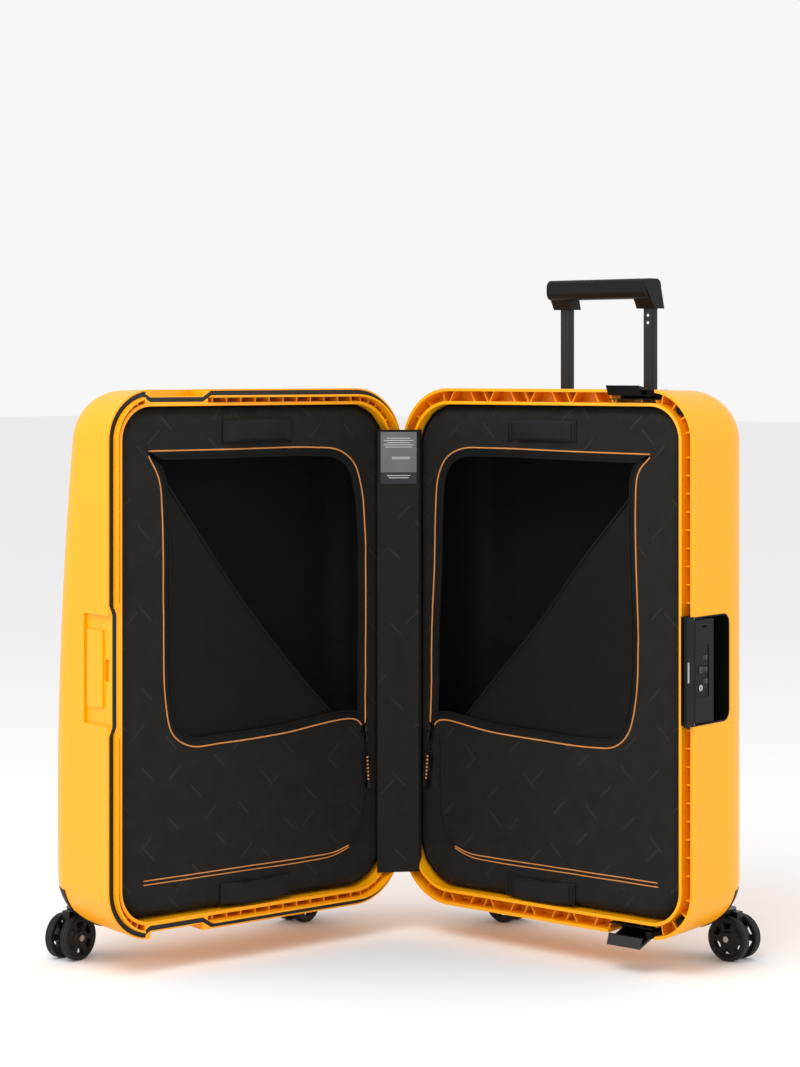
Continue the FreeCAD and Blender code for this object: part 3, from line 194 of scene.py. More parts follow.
FINISHES = {
    "shell": hard("golden_polypropylene", linear(250, 166, 3), 0.36, depth=0.00012, grain=700),
    "seal": hard("seal_rubber", linear(20, 20, 21), 0.42),
    "fitting_black": hard("textured_black", linear(10, 10, 9), 0.5, depth=0.00015, shine=0.15),
    "latch_black": hard("smooth_black", linear(9, 9, 10), 0.28, coat=0.1, shine=0.2),
    "lever_black": hard("lever_black", linear(13, 13, 14), 0.45, depth=0.0001, shine=0.15),
    "grip_black": hard("grip_black", linear(13, 12, 12), 0.46, depth=0.0001, shine=0.15),
    "caster_black": hard("caster_black", linear(18, 18, 19), 0.4, depth=0.0001, shine=0.25),
    "wheel_black": hard("wheel_black", linear(24, 24, 25), 0.5, depth=0.0002, shine=0.25),
    "dial": hard("dial_black", linear(46, 46, 47), 0.35),
    "steel": hard("plain_steel", linear(180, 180, 180), 0.35, metallic=1.0),
    "tube": hard("dark_anodised", linear(26, 24, 22), 0.4, metallic=0.3),
}
SLOT_OF = {part["node"]: part["material_slot"] for part in frame["record"]["subparts"]}
for name, piece in nodes.items():
    if SLOT_OF[name] in FINISHES:
        piece.data.materials.clear()
        piece.data.materials.append(FINISHES[SLOT_OF[name]])
print("finishes on", sum(slot in FINISHES for slot in SLOT_OF.values()), "hard parts")

# %% [markdown]
# ### Cloth
# The cloth's texture runs in its own flat coordinates, in metres. Two fine waves cross for the
# weave. The panel cloth also has slim dashes woven in, leaning either way: each cell of a grid
# holds one short stroke, a little lighter and shinier than its ground.

# %% Woven finishes
def strokes(graph, across, along, pitch_across, pitch_along, width, length, phase):
    """1 on slim strokes laid out on a brick grid, 0 elsewhere."""
    row = (along * (1 / pitch_along) + phase).math("FLOOR")
    shift = (row * 0.37 + phase).math("FRACT")
    column = (across * (1 / pitch_across) + shift).math("FRACT")
    place = (along * (1 / pitch_along) + phase).math("FRACT")
    slim = (column - 0.5).math("ABSOLUTE") < width / pitch_across / 2
    short = (place - 0.5).math("ABSOLUTE") < length / pitch_along / 2
    return slim * short


def woven(name, colour, light, roughness, dashes=False, thread=1500.0, depth=0.00025):
    graph = Graph(name)
    cloth = graph.node("ShaderNodeTexCoord", output=2)
    split = graph.node("ShaderNodeSeparateXYZ", {"Vector": cloth})
    x, y = split, Wire(graph, split.socket.node.outputs[1])
    warp = (x * thread * 2.0).math("SINE")
    weft = (y * thread * 2.0).math("SINE")
    weave = warp * weft
    mottle = graph.node("ShaderNodeTexNoise", {"Vector": cloth, "Scale": 40.0, "Detail": 4.0})
    tone = mottle * 0.6 + weave * 0.1
    if dashes:
        rising, falling = x * 0.707 + y * 0.707, x * 0.707 - y * 0.707
        first = strokes(graph, falling, rising, 0.052, 0.074, 0.0022, 0.024, 0.1)
        second = strokes(graph, rising, falling, 0.080, 0.094, 0.0022, 0.026, 0.6)
        broken = graph.node("ShaderNodeTexNoise", {"Vector": cloth, "Scale": 420.0})
        tone = tone + (first + second) * (broken * 1.2 + 0.2)
        graph.feed("Roughness", roughness - (first + second) * 0.14)
    else:
        graph.constant(Roughness=roughness)
    graph.constant(Sheen_Weight=0.03, Sheen_Roughness=0.4, Specular_IOR_Level=0.14)
    graph.feed("Base Color", graph.mix(tone, colour, light))
    graph.bump(weave, 0.3, depth)
    return graph.material


PANEL = woven("panel_cloth", linear(20, 19, 17), linear(40, 38, 35), 0.62, dashes=True)
FLAP = woven("flap_cloth", linear(11, 10, 9), linear(23, 22, 20), 0.66)
DARK = woven("lining_cloth", linear(6, 6, 6), linear(12, 12, 12), 0.7)
TAPE = woven("zip_tape", linear(12, 12, 12), linear(24, 24, 24), 0.55, thread=2600.0)
STRAP = woven("webbing", linear(17, 17, 18), linear(36, 36, 39), 0.45, thread=1100.0,
              depth=0.0006)
COPPER = woven("copper_piping", linear(196, 122, 62), linear(226, 160, 96), 0.5, thread=2600.0)
LABEL = woven("label_satin", linear(96, 96, 98), linear(128, 128, 130), 0.35, thread=3000.0)
LABEL_DARK = woven("label_foot", linear(44, 44, 46), linear(66, 66, 68), 0.4, thread=3000.0)
PRINT = hard("label_print", linear(196, 196, 198), 0.6)
ZIP_METAL = hard("zip_slider", linear(30, 30, 31), 0.28, metallic=0.4)
print("woven finishes ready")

# %% [markdown]
# ## Building blocks for sewn pieces
# `piece` makes an object from half-frame points. `bend_through` draws a smooth line through a few
# points, `tube` sweeps a round cord along a line, `joined` puts several such pieces into one, and
# `grid_faces` and `band_faces` give the squares of a net of points, open or closed round.

# %% Mesh helpers
def piece(name, half, points, faces, material, slot, flat=None):
    mesh = bpy.data.meshes.new(name)
    mesh.from_pydata([at(half, *point) for point in points], [], faces)
    layer = mesh.uv_layers.new(name="cloth")
    flat = flat or [(u * MM, z * MM) for u, _, z in points]
    for loop in mesh.loops:
        layer.data[loop.index].uv = flat[loop.vertex_index]
    mesh.shade_smooth()
    made = bpy.data.objects.new(name, mesh)
    bpy.context.scene.collection.objects.link(made)
    mesh.materials.append(material)
    return made


def resample(path, step):
    """Points every step along a polyline, ends kept."""
    path = np.array(path, float)
    runs = np.linalg.norm(np.diff(path, axis=0), axis=1)
    reach = np.concatenate([[0], np.cumsum(runs)])
    count = max(2, int(round(reach[-1] / step)) + 1)
    marks = np.linspace(0, reach[-1], count)
    return np.stack([np.interp(marks, reach, path[:, i]) for i in range(path.shape[1])], 1)


def bend_through(corners, step=4.0):
    """A smooth open line through the corners."""
    pts = np.array(corners, float)
    pts = np.vstack([2 * pts[0] - pts[1], pts, 2 * pts[-1] - pts[-2]])
    line = []
    for i in range(1, len(pts) - 2):
        before, start, end, after = pts[i - 1:i + 3]
        gaps = [max(np.linalg.norm(b - a) ** 0.5, 1e-6)
                for a, b in ((before, start), (start, end), (end, after))]
        tangent_start = (start - before) / gaps[0] - (end - before) / (gaps[0] + gaps[1])
        tangent_start = (tangent_start + (end - start) / gaps[1]) * gaps[1]
        tangent_end = (end - start) / gaps[1] - (after - start) / (gaps[1] + gaps[2])
        tangent_end = (tangent_end + (after - end) / gaps[2]) * gaps[1]
        for t in np.linspace(0, 1, 14, endpoint=False):
            line.append((2 * t**3 - 3 * t**2 + 1) * start + (t**3 - 2 * t**2 + t) * tangent_start
                        + (3 * t**2 - 2 * t**3) * end + (t**3 - t**2) * tangent_end)
    line.append(pts[-2])
    return resample(line, step)


def tube(path, radius, sides=8, squash=1.0):
    """Points and faces of a round cord along a line of (u, v, z) points, capped."""
    path = np.array(path, float)
    ahead = np.gradient(path, axis=0)
    ahead /= np.linalg.norm(ahead, axis=1)[:, None]
    points, faces = [], []
    for spot, direction in zip(path, ahead):
        side = np.cross(direction, (0, 1, 0))
        if np.linalg.norm(side) < 0.05:
            side = np.cross(direction, (0, 0, 1))
        side /= np.linalg.norm(side)
        up = np.cross(side, direction)
        for k in range(sides):
            angle = 2 * math.pi * k / sides
            points.append(tuple(spot + radius * (math.cos(angle) * side
                                                 + squash * math.sin(angle) * up)))
    rings = len(path)
    for i in range(rings - 1):
        for k in range(sides):
            a, b = i * sides + k, i * sides + (k + 1) % sides
            faces.append((a, b, b + sides, a + sides))
    faces.append(tuple(range(sides)))
    faces.append(tuple((rings - 1) * sides + k for k in range(sides)))
    return points, faces


def joined(*parts):
    points, faces = [], []
    for more_points, more_faces in parts:
        start = len(points)
        points += more_points
        faces += [tuple(start + i for i in face) for face in more_faces]
    return points, faces


def grid_faces(rows, count):
    """Squares between rows of count points each."""
    return [(r * count + i, r * count + i + 1, (r + 1) * count + i + 1, (r + 1) * count + i)
            for r in range(rows) for i in range(count - 1)]


def band_faces(rows, count):
    """Squares between closed rings of count points each."""
    return [(r * count + i, r * count + (i + 1) % count, (r + 1) * count + (i + 1) % count,
             (r + 1) * count + i) for r in range(rows) for i in range(count)]


def smooth_step(low, high, x):
    t = np.clip((x - low) / (high - low), 0, 1)
    return t * t * (3 - 2 * t)


def rumple(u, z, size, seed):
    """Gentle uneven cloth, from -1 to 1."""
    return noise.noise(Vector((u / size, z / size, seed)))


print("mesh helpers ready")

# %% [markdown]
# ## The windows
# Each divider has a large zip window. Its edge sags differently in the two halves, so each has
# its own line, starting and ending at the open upper corner on the lock side.

# %% Window outlines
WINDOWS = {
    "front": [(414, 667), (293, 667), (150, 667), (104, 662), (79, 645), (66, 612), (60, 560),
              (58.5, 499), (58.5, 400), (60, 330), (62, 284), (72, 294), (88, 298), (200, 288),
              (300, 284), (350, 285), (377, 303), (388, 350), (391, 450), (392.5, 579),
              (398, 630), (414, 661)],
    "rear": [(409, 663), (300, 664), (150, 666), (100, 664), (74, 652), (60, 628), (55, 590),
             (51, 500), (47, 400), (46, 330), (47, 283), (57, 292), (70, 295), (149, 286),
             (240, 282), (319, 280.5), (354, 285), (375, 303), (388, 350), (391, 420),
             (388, 520), (387, 600), (392, 640), (409, 659)],
}
edges = {half: bend_through(line) for half, line in WINDOWS.items()}
CORNERS = {True: 65.0, False: 80.0}


def rim_line(inset, low, step=5.0):
    """The rim's rounded rectangle, set in, as a closed line of (u, z); low is its lower edge."""
    left, right = HINGE_OFFSET + inset, CASE_WIDTH - inset
    high = CASE_HIGH - inset
    line = []
    for lock_side, top, start in ((True, True, 0), (False, True, 90), (False, False, 180),
                                  (True, False, 270)):
        radius = CORNERS[lock_side] - inset
        cu = right - radius if lock_side else left + radius
        cz = high - radius if top else low + radius
        for angle in np.linspace(start, start + 90, 14):
            ray = math.radians(angle)
            line.append((cu + radius * math.cos(ray), cz + radius * math.sin(ray)))
    line.append(line[0])
    return resample(line, step)


def inside(points, line):
    """Which points lie inside a closed line."""
    x, y = points[:, 0], points[:, 1]
    found = np.zeros(len(points), bool)
    for (x0, y0), (x1, y1) in zip(line, np.roll(line, -1, axis=0)):
        crosses = (y0 > y) != (y1 > y)
        slope = (x1 - x0) / (y1 - y0) if y1 != y0 else 0.0
        found ^= crosses & (x < x0 + (y - y0) * slope)
    return found


def distance_to(points, line):
    """Distance from each point to a line."""
    best = np.full(len(points), 1e9)
    for start, end in zip(line[:-1], line[1:]):
        run = end - start
        share = np.clip((points - start) @ run / max(run @ run, 1e-9), 0, 1)
        best = np.minimum(best, np.linalg.norm(points - start - share[:, None] * run, axis=1))
    return best


print("window edges of", {half: len(line) for half, line in edges.items()}, "points")

# %% [markdown]
# ## Dividers
# The panel fills the half just behind the rim. Triangles come from a grid of points between the
# outer line and the window's line. Its border turns back towards the lining and is gathered into
# small puckers, and below the window the pocket's lower seam pulls it in.

# %% Divider panels
PANEL_FACE = 7.5
PANEL_INSET = 22.4
PANEL_SILL = 26.0
BORDER = 13.0
SEAM_HEIGHT = {"front": 113.0, "rear": 112.0}


def panel_depth(half, spots, rim, seed):
    """How far behind the rim the panel lies at each (u, z)."""
    from_rim = distance_to(spots, rim)
    tuck = 1 - smooth_step(0, BORDER, from_rim)
    near = np.exp(-((from_rim - BORDER) / 9.0) ** 2)
    seam = SEAM_HEIGHT[half]
    depth = np.empty(len(spots))
    for i, (u, z) in enumerate(spots):
        soft = 1.3 * rumple(u, z, 95, seed) + 0.7 * rumple(u, z, 38, seed + 3)
        pucker = 1.9 * rumple(u, z, 13, seed + 7) * near[i]
        dip = 2.2 * math.exp(-((z - seam) / 7.0) ** 2) if 60 < u < 440 else 0.0
        sag = 3.4 * rumple(u, z, 55, seed + 9) if z < seam - 12 else 0.0
        depth[i] = PANEL_FACE + 9 * tuck[i] + soft + pucker + dip + abs(sag) * 0.8
    return depth


def cut_cloth(outer, hole, pitch):
    """Triangles between a closed outer line and a hole."""
    low, high = outer.min(0), outer.max(0)
    grid = np.array([(u, z) for u in np.arange(low[0], high[0], pitch)
                     for z in np.arange(low[1], high[1], pitch)])
    grid += np.random.default_rng(3).uniform(-0.2, 0.2, grid.shape) * pitch
    clear = inside(grid, outer) & ~inside(grid, hole)
    clear &= distance_to(grid, outer) > pitch * 0.6
    clear &= distance_to(grid, np.vstack([hole, hole[:1]])) > pitch * 0.6
    spots = np.vstack([outer[:-1], hole, grid[clear]])
    count, gap = len(outer) - 1, len(hole)
    sides = [(i, (i + 1) % count) for i in range(count)]
    sides += [(count + i, count + (i + 1) % gap) for i in range(gap)]
    found = geometry.delaunay_2d_cdt([Vector(p) for p in spots], sides, [], 0, 1e-4)
    spots = np.array([tuple(p) for p in found[0]])
    faces = np.array([tuple(f) for f in found[2]])
    middles = spots[faces].mean(1)
    keep = inside(middles, outer) & ~inside(middles, hole)
    return spots, [tuple(int(i) for i in face) for face in faces[keep]]


dividers = {}
for seed, half in enumerate(("rear", "front")):
    rim = rim_line(PANEL_INSET, CASE_LOW + PANEL_INSET)
    foot = rim_line(PANEL_INSET, CASE_LOW + PANEL_SILL)
    spots, faces = cut_cloth(foot, edges[half], 6.5)
    depth = panel_depth(half, spots, rim, 11.0 * seed)
    points = [(u, v, z) for (u, z), v in zip(spots, depth)]
    panel = piece(f"divider_cloth_{half}", half, points, faces, PANEL, "panel_cloth")
    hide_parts(f"divider_{half}")
    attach(panel, f"{half}_case")
    corners = spots[np.array(faces)]
    sides = corners[:, 1:] - corners[:, :1]
    area = 0.5 * abs(sides[:, 0, 0] * sides[:, 1, 1] - sides[:, 0, 1] * sides[:, 1, 0]).sum()
    dividers[half] = (panel, area * MM * MM)
    print(half, "divider", len(faces), "triangles,", round(area * MM * MM, 3), "square metres")

# %% [markdown]
# ## Zip tape and piping
# A copper cord runs round each window, and inside it lies the dark zip tape with its coil. The
# pocket's lower seam carries two more cords, which draw together as they rise to the hinge side.

# %% Tape, coil and piping
PANEL_SIZE = (CASE_WIDTH - 45, CASE_HIGH - CASE_LOW - 45)
TAPE_WIDTH = 11.5
LINE_STEP = 4.0


def inward(line):
    """Unit vectors across an open line, towards the inside of the window."""
    ahead = np.gradient(line, axis=0)
    ahead /= np.linalg.norm(ahead, axis=1)[:, None]
    side = np.stack([-ahead[:, 1], ahead[:, 0]], 1)
    for _ in range(3):
        side[1:-1] = (side[:-2] + side[1:-1] * 2 + side[2:]) / 4
    return side / np.linalg.norm(side, axis=1)[:, None]


def edge_depth(half, line, seed):
    return panel_depth(half, line, rim_line(PANEL_INSET, CASE_LOW + PANEL_INSET), seed)


for seed, half in enumerate(("rear", "front")):
    line = edges[half]
    depth = edge_depth(half, line, 11.0 * seed)
    cord_path = [(u, v - 0.3, z) for (u, z), v in zip(line, depth)]
    side = inward(line)
    run = np.minimum(np.arange(len(line)), np.arange(len(line))[::-1]) * LINE_STEP
    width = TAPE_WIDTH * smooth_step(0, 26, run)
    rows = []
    for share, back in ((0.0, 0.1), (0.35, 0.9), (0.7, 1.2), (1.0, 2.6)):
        rows.append([(u + n[0] * w * share, v + back, z + n[1] * w * share)
                     for (u, z), v, n, w in zip(line, depth, side, width)])
    points = [spot for row in rows for spot in row]
    faces = grid_faces(3, len(line))
    tape = piece(f"zip_tape_{half}", half, points, faces, TAPE, "zip")
    coil_path = [(u + n[0] * w * 0.93, v + 1.4, z + n[1] * w * 0.93)
                 for (u, z), v, n, w in zip(line, depth, side, width)]
    coil = piece(f"zip_coil_{half}", half, *tube(coil_path, 1.1, 6), TAPE, "zip")
    cord = piece(f"window_piping_{half}", half, *tube(cord_path, 1.0), COPPER, "panel_cloth")
    seam = SEAM_HEIGHT[half]
    lines = []
    for drop in (0.0, 5.4):
        turn = [(421, seam + drop), (300, seam + drop), (150, seam + drop),
                (112, seam + 2.5 + drop * 0.8), (88, seam + 11 + drop * 0.5)]
        path = bend_through(turn)
        back = edge_depth(half, path, 11.0 * seed)
        lines.append(tube([(u, v - 0.4, z) for (u, z), v in zip(path, back)], 0.85, 6))
    cords = piece(f"seam_cords_{half}", half, *joined(*lines), COPPER, "panel_cloth")
    rise = bend_through([(87, seam + 13), (75, seam + 24), (67, seam + 42), (62, seam + 74),
                         (61, 230), (62, 276)])
    back = edge_depth(half, rise, 11.0 * seed)
    edge = piece(f"pocket_edge_{half}", half,
                 *tube([(u, v - 0.2, z) for (u, z), v in zip(rise, back)], 1.3, 6), TAPE, "zip")
    for part in (tape, coil, cord, cords, edge):
        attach(part, f"{half}_case")
    panel, area = dividers[half]
    flat = (PANEL_SIZE[0] * MM, PANEL_SIZE[1] * MM)
print("piping and tape on both windows")

# %% [markdown]
# ## Linings and flaps
# Behind each divider is the lining, a loose bag that follows the shell. The window's flap is
# zipped open and hangs inside as a triangle, its free edge rolled over.

# %% Lining bags
LINING = {"rear": 134.0, "front": 100.0}
BAG_INSET = 22.9
BAG_STEP = 7.0


def bag_limits(half, u, v, z):
    """Keeps the rear bag clear of the lock's pan and of the handle's well."""
    if half == "rear":
        if 312 < z < 470 and v < 95:
            u = min(u, 438)
        if 128 < u < 352 and v > 96:
            z = min(z, 690)
    return u, v, z


for half in ("rear", "front"):
    deep = LINING[half]
    profile = [(BAG_INSET, 12.0), (23.2, 22.0), (24.0, 40.0), (25.5, deep - 52), (31, deep - 28),
               (43, deep - 10), (62, deep - 2), (86, deep), (130, deep), (180, deep)]
    base = rim_line(BAG_INSET, CASE_LOW + 29, step=BAG_STEP)[:-1]
    middle = np.array([CASE_WIDTH / 2, (CASE_LOW + CASE_HIGH) / 2])
    reach = base - middle
    points = []
    for row, (inset, v) in enumerate(profile):
        shrink = 1 - (inset - BAG_INSET) / (CASE_WIDTH / 2 - BAG_INSET)
        for i, (du, dz) in enumerate(reach):
            long_way = (abs(dz) * 2 - (inset - BAG_INSET) * 2) / max(abs(dz) * 2, 1e-6)
            u, z = middle[0] + du * shrink, middle[1] + dz * max(long_way, 0.1)
            fold = rumple(u * 1.0, z * 1.0, 46, 30 + v / 60) * smooth_step(0, 40, v)
            pinch = 1.2 * math.sin(i * 1.9 + 3 * rumple(u, z, 60, 5)) * (v < 30)
            toward = np.array([du, dz]) / np.linalg.norm([du, dz])
            u, z = np.array([u, z]) - toward * (abs(fold) * 4.5 + max(pinch, 0))
            points.append(bag_limits(half, u, v - abs(fold) * 3 * (row > 5), z))
    count = len(base)
    faces = band_faces(len(profile) - 1, count)
    faces.append(tuple((len(profile) - 1) * count + i for i in range(count)))
    flat = [(i * BAG_STEP * MM, v * MM + 0.002 * i) for (_, v) in profile for i in range(count)]
    bag = piece(f"lining_cloth_{half}", half, points, faces, DARK, "lining", flat=flat)
    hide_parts(f"lining_{half}")
    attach(bag, f"{half}_case")

# %% Window flaps
FOLDS = {"front": [(100, 296), (175, 372), (250, 455), (322, 547), (388, 634)],
         "rear": [(92, 293), (149, 355), (229, 440), (298, 524), (384, 618)]}
for seed, half in enumerate(("rear", "front")):
    fold = bend_through(FOLDS[half], 6.0)
    rows = 16
    points = []
    for row in range(rows + 1):
        share = row / rows
        for i, (u, z) in enumerate(fold):
            low = np.array([min(u + 8, 398.0), 272.0])
            spot = np.array([u, z]) * (1 - share) + low * share
            spot[0] += (400 - spot[0]) * share * 0.15
            wave = 1.2 * rumple(spot[0], spot[1], 60, 40 + seed) * math.sin(math.pi * share)
            points.append((spot[0], 14.6 + wave + 1.6 * (1 - share) ** 6, spot[1]))
    faces = grid_faces(rows, len(fold))
    flap = piece(f"flap_cloth_{half}", half, points, faces, FLAP, "lining")
    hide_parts(f"flap_{half}")
    hem = piece(f"flap_hem_{half}", half, *tube([(u, 15.4, z) for u, z in fold], 1.6, 8),
                TAPE, "lining")
    for part in (flap, hem):
        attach(part, f"{half}_case")
print("flaps hung")

# %% [markdown]
# ## Loops, zip pulls and the strip over the hinges
# The loops are short lengths of webbing, sewn down at both ends and slightly bowed. Each puller is
# a cloth tab on a slider. The strip is curved round the hinges from one divider to the other, and
# so is the label sewn to it.

# %% Webbing loops
LOOPS = {"rear": (((179, 293), (676, 704), 0), ((178, 290), (72, 100), 1)),
         "front": (((185, 298), (675, 705), 0), ((190, 302), (74, 102), 1))}
for half, found in LOOPS.items():
    for number, ((left, right), (low, high), kind) in enumerate(found):
        rows, columns = 6, 30
        points, flat = [], []
        for r in range(rows + 1):
            for c in range(columns + 1):
                share = c / columns
                arch = smooth_step(0.04, 0.3, share) * smooth_step(0.04, 0.3, 1 - share)
                sag = (2.5 if kind else -1.5) * math.sin(math.pi * share)
                u = left + (right - left) * share
                z = low + (high - low) * r / rows - sag
                cup = 0.7 * math.cos(math.pi * (r / rows - 0.5))
                points.append((u, 6.0 - 3.4 * arch - cup * arch, z))
                flat.append((u * MM, z * MM))
        faces = grid_faces(rows, columns + 1)
        loop = piece(f"loop_{half}_{number}", half, points, faces, STRAP, "webbing", flat=flat)
        thick = loop.modifiers.new("thickness", "SOLIDIFY")
        thick.thickness = 1.3 * MM
        seams = []
        for u in (left + 2.5, left + 8, right - 8, right - 2.5):
            seams.append(tube([(u, 4.9, low + 2), (u, 4.7, (low + high) / 2),
                               (u, 4.9, high - 2)], 0.45, 5))
        seam = piece(f"loop_seams_{half}_{number}", half, *joined(*seams), TAPE, "webbing")
        if number == 0:
            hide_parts(f"grab_loops_{half}")
        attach(loop, f"{half}_case")
        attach(seam, f"{half}_case")
        (right - left) * MM * 1.02
        (high - low) * MM
print("four webbing loops")

# %% Zip sliders and pullers
PULLS = {"front": ((62, 281), (57, 199)), "rear": ((47.5, 281), (40, 203))}
TAB_SIDES = 20
for half, (top, foot) in PULLS.items():
    top, foot = np.array(top, float), np.array(foot, float)
    along = (foot - top) / np.linalg.norm(foot - top)
    across = np.array([along[1], -along[0]])

    def tab(start, end, width, front, back, half=half, top=top, along=along, across=across):
        """A flat rounded tab between two distances along the pull."""
        ring = []
        for angle in np.linspace(0, 2 * math.pi, TAB_SIDES, endpoint=False):
            c, s = math.cos(angle), math.sin(angle)
            length = (end - start) / 2
            reach = (start + end) / 2 + math.copysign(abs(c) ** 0.35, c) * length
            spot = top + along * reach + across * math.copysign(abs(s) ** 0.35, s) * width / 2
            ring.append(spot)
        points = [(u, v, z) for v in (front, front + 0.3, back - 0.3, back)
                  for u, z in (ring if v in (front + 0.3, back - 0.3) else
                               [p * 0.94 + np.mean(ring, 0) * 0.06 for p in ring])]
        faces = band_faces(3, TAB_SIDES)
        faces += [tuple(range(TAB_SIDES)), tuple(3 * TAB_SIDES + i for i in range(TAB_SIDES))]
        return points, faces
    slider = piece(f"zip_slider_{half}", half,
                   *joined(tab(-9, 7, 9, 2.6, 6.6), tab(2, 16, 4.6, 1.7, 3.4)), ZIP_METAL, "zip")
    string = [(top + along * d) for d in (10, 22, 34)]
    loop = tube([(u, 3.2, z) for u, z in string], 1.0, 6)
    puller = piece(f"puller_{half}", half, *joined(loop, tab(30, 82, 11.5, 2.4, 5.0)), TAPE, "zip")
    marks = [tab(36 + 5 * i, 38.6 + 5 * i, 3.4, 2.1, 2.5) for i in range(7)]
    mark = piece(f"puller_mark_{half}", half, *joined(*marks), COPPER, "zip")
    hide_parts(f"zip_pull_{half}")
    for part in (slider, puller, mark):
        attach(part, f"{half}_case")
print("two zip pulls")

# %% The strip over the hinges, and its label
STRIP_LOW, STRIP_HIGH = 85.0, 689.0
STRIP_STEP = 2.2
LABEL_LOW, LABEL_MIDDLE, LABEL_HIGH = 615, 631, 686


def strip_line(lift):
    """The strip's cross section in the hinge plane, from the rear divider to the front one."""
    ends = [at("rear", 27, 9.5, 0), at("rear", 29.5, 3.5, 0), at("rear", 31.5, 0.4, 0)]
    far = [at("front", 43.5, 0.4, 0), at("front", 41, 4.0, 0), at("front", 36, 10, 0)]
    line = resample([tuple(p / MM) for p in ends + far], STRIP_STEP)
    middle = (line - np.array([HINGE.x / MM, HINGE.y / MM, 0]))
    out = middle / np.linalg.norm(middle, axis=1)[:, None]
    return line + out * lift


def strip_sheet(name, lift, first, last, low, high, material, step=6.0):
    """Cloth along part of the strip's cross section, between two heights."""
    line = strip_line(lift)
    line = line[int(first * (len(line) - 1)):int(last * (len(line) - 1)) + 1]
    levels = np.linspace(low, high, max(2, int((high - low) / step)))
    points, flat = [], []
    for z in levels:
        for i, (x, y, _) in enumerate(line):
            soft = 0.8 * rumple(i * STRIP_STEP, z, 50, 60)
            points.append(((x + 0.7 * soft) * MM, (y - 0.7 * soft) * MM, z * MM))
            flat.append((i * STRIP_STEP * MM, z * MM))
    faces = grid_faces(len(levels) - 1, len(line))
    mesh = bpy.data.meshes.new(name)
    mesh.from_pydata(points, [], faces)
    layer = mesh.uv_layers.new(name="cloth")
    for corner in mesh.loops:
        layer.data[corner.index].uv = flat[corner.vertex_index]
    mesh.shade_smooth()
    mesh.materials.append(material)
    made = bpy.data.objects.new(name, mesh)
    bpy.context.scene.collection.objects.link(made)
    at("rear", 29, 4, 400)
    at("front", 42, 4, 400)
    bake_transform(made)
    return made, sum(p.area for p in mesh.polygons)


strip, strip_area = strip_sheet("hinge_strip", 0.0, 0, 1, STRIP_LOW, STRIP_HIGH, PANEL)
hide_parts("hinge_cover")
label, label_area = strip_sheet("label_upper", 0.9, 0.2, 0.8, LABEL_MIDDLE, LABEL_HIGH, LABEL)
foot, foot_area = strip_sheet("label_lower", 0.9, 0.2, 0.8, LABEL_LOW, LABEL_MIDDLE, LABEL_DARK)
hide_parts("care_label")
lines = []
for number, (low, start, end) in enumerate(((677, 0.3, 0.7), (674, 0.26, 0.74), (671, 0.3, 0.7),
                                            (668, 0.27, 0.73), (665, 0.29, 0.71),
                                            (651, 0.3, 0.6), (649, 0.3, 0.6), (626, 0.3, 0.7),
                                            (623, 0.33, 0.67))):
    line, _ = strip_sheet(f"label_line_{number}", 1.2, start, end, low, low + 0.9, PRINT,
                          step=0.5)
    lines.append(line)
stitch, _ = strip_sheet("label_stitch", 1.2, 0.2, 0.8, 686.5, 688, TAPE, step=1.0)
lines[:7] + [stitch]
print("strip and label over the hinges")

# %% [markdown]
# ## Floor, light and camera
# A pale floor that fades into a pale backdrop, one large soft light from the front and above,
# and a weaker one on each side. The camera stands low and square to the opening.

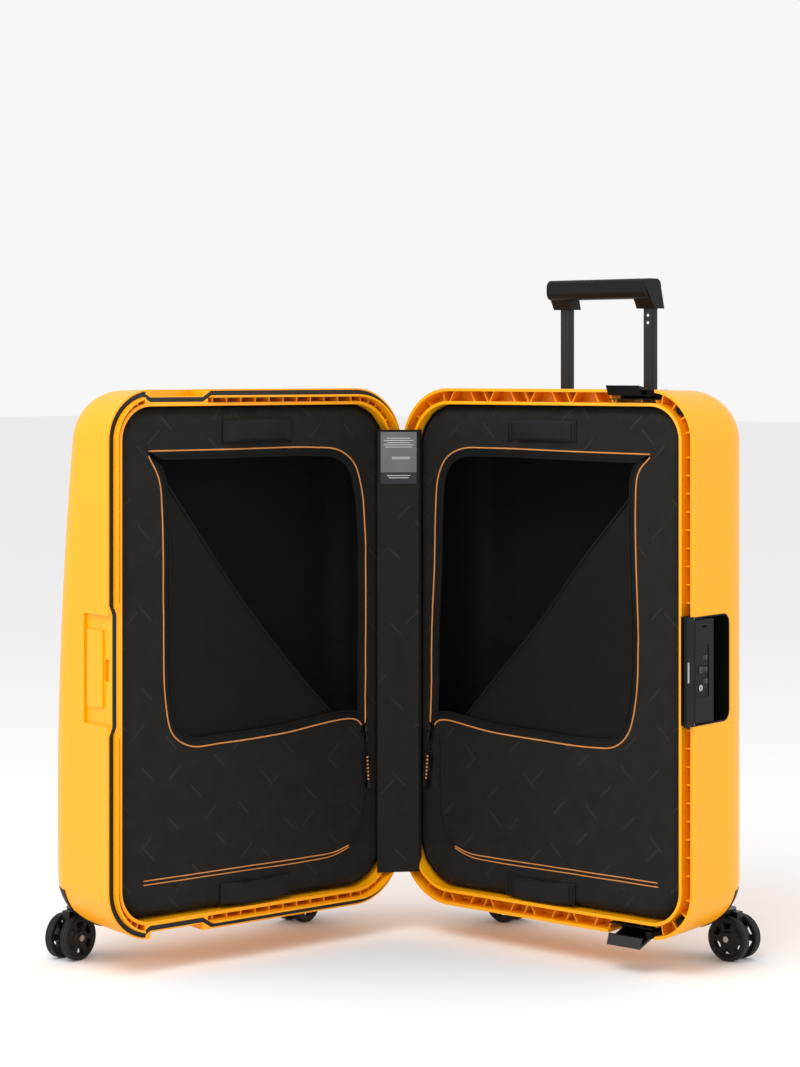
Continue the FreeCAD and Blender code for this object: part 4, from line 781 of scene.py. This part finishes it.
# %% Stage
floor_mesh = bpy.data.meshes.new("floor")
SPAN = 30.0
BACKDROP = (0.945, 0.945, 0.945, 1)
floor_mesh.from_pydata([(-SPAN, -SPAN, 0), (SPAN, -SPAN, 0), (SPAN, SPAN, 0), (-SPAN, SPAN, 0)],
                       [], [(0, 1, 2, 3)])
floor = bpy.data.objects.new("floor", floor_mesh)
bpy.context.scene.collection.objects.link(floor)
paper = Graph("floor_paper")
paper.constant(Base_Color=(0.90, 0.90, 0.90, 1.0), Roughness=0.95, Specular_IOR_Level=0.0)
floor_mesh.materials.append(paper.material)

world = bpy.context.scene.world or bpy.data.worlds.new("studio")
bpy.context.scene.world = world
world.use_nodes = True
world.node_tree.nodes["Background"].inputs["Color"].default_value = BACKDROP
world.node_tree.nodes["Background"].inputs["Strength"].default_value = 0.98


def area_light(name, place, target, size, power):
    data = bpy.data.lights.new(name, "AREA")
    data.size, data.energy = size, power
    lamp = bpy.data.objects.new(name, data)
    bpy.context.scene.collection.objects.link(lamp)
    lamp.location = place
    lamp.rotation_euler = (Vector(target) - Vector(place)).to_track_quat("-Z", "Y").to_euler()


VIEW_TURN = math.radians(40.5)
VIEW_BACK, VIEW_ASIDE, VIEW_HEIGHT = 3.605, 0.0029, 0.772
SIDE_LIGHT = 12
forward = Vector((-math.sin(VIEW_TURN), math.cos(VIEW_TURN), 0))
right = Vector((math.cos(VIEW_TURN), math.sin(VIEW_TURN), 0))
middle = Vector((HINGE.x, HINGE.y, 0.42))
area_light("key", middle - forward * 1.6 - right * 0.7 + Vector((0, 0, 2.0)), middle, 1.6, 34)
area_light("left_fill", middle - right * 2.6 - forward * 0.9 + Vector((0, 0, 0.7)), middle, 1.4,
           SIDE_LIGHT)
area_light("right_fill", middle + right * 2.6 - forward * 0.9 + Vector((0, 0, 0.7)), middle, 1.4,
           SIDE_LIGHT)

camera_data = bpy.data.cameras.new("camera")
camera = bpy.data.objects.new("camera", camera_data)
bpy.context.scene.collection.objects.link(camera)
camera.location = Vector((HINGE.x, HINGE.y, 0)) - forward * VIEW_BACK - right * VIEW_ASIDE
camera.location.z = VIEW_HEIGHT
camera.rotation_euler = (math.radians(90), 0, VIEW_TURN)
camera_data.sensor_width = 36
camera_data.lens = 88.47
camera_data.shift_y = -0.1542
bpy.context.scene.camera = camera
bpy.context.scene.view_settings.view_transform = "Standard"
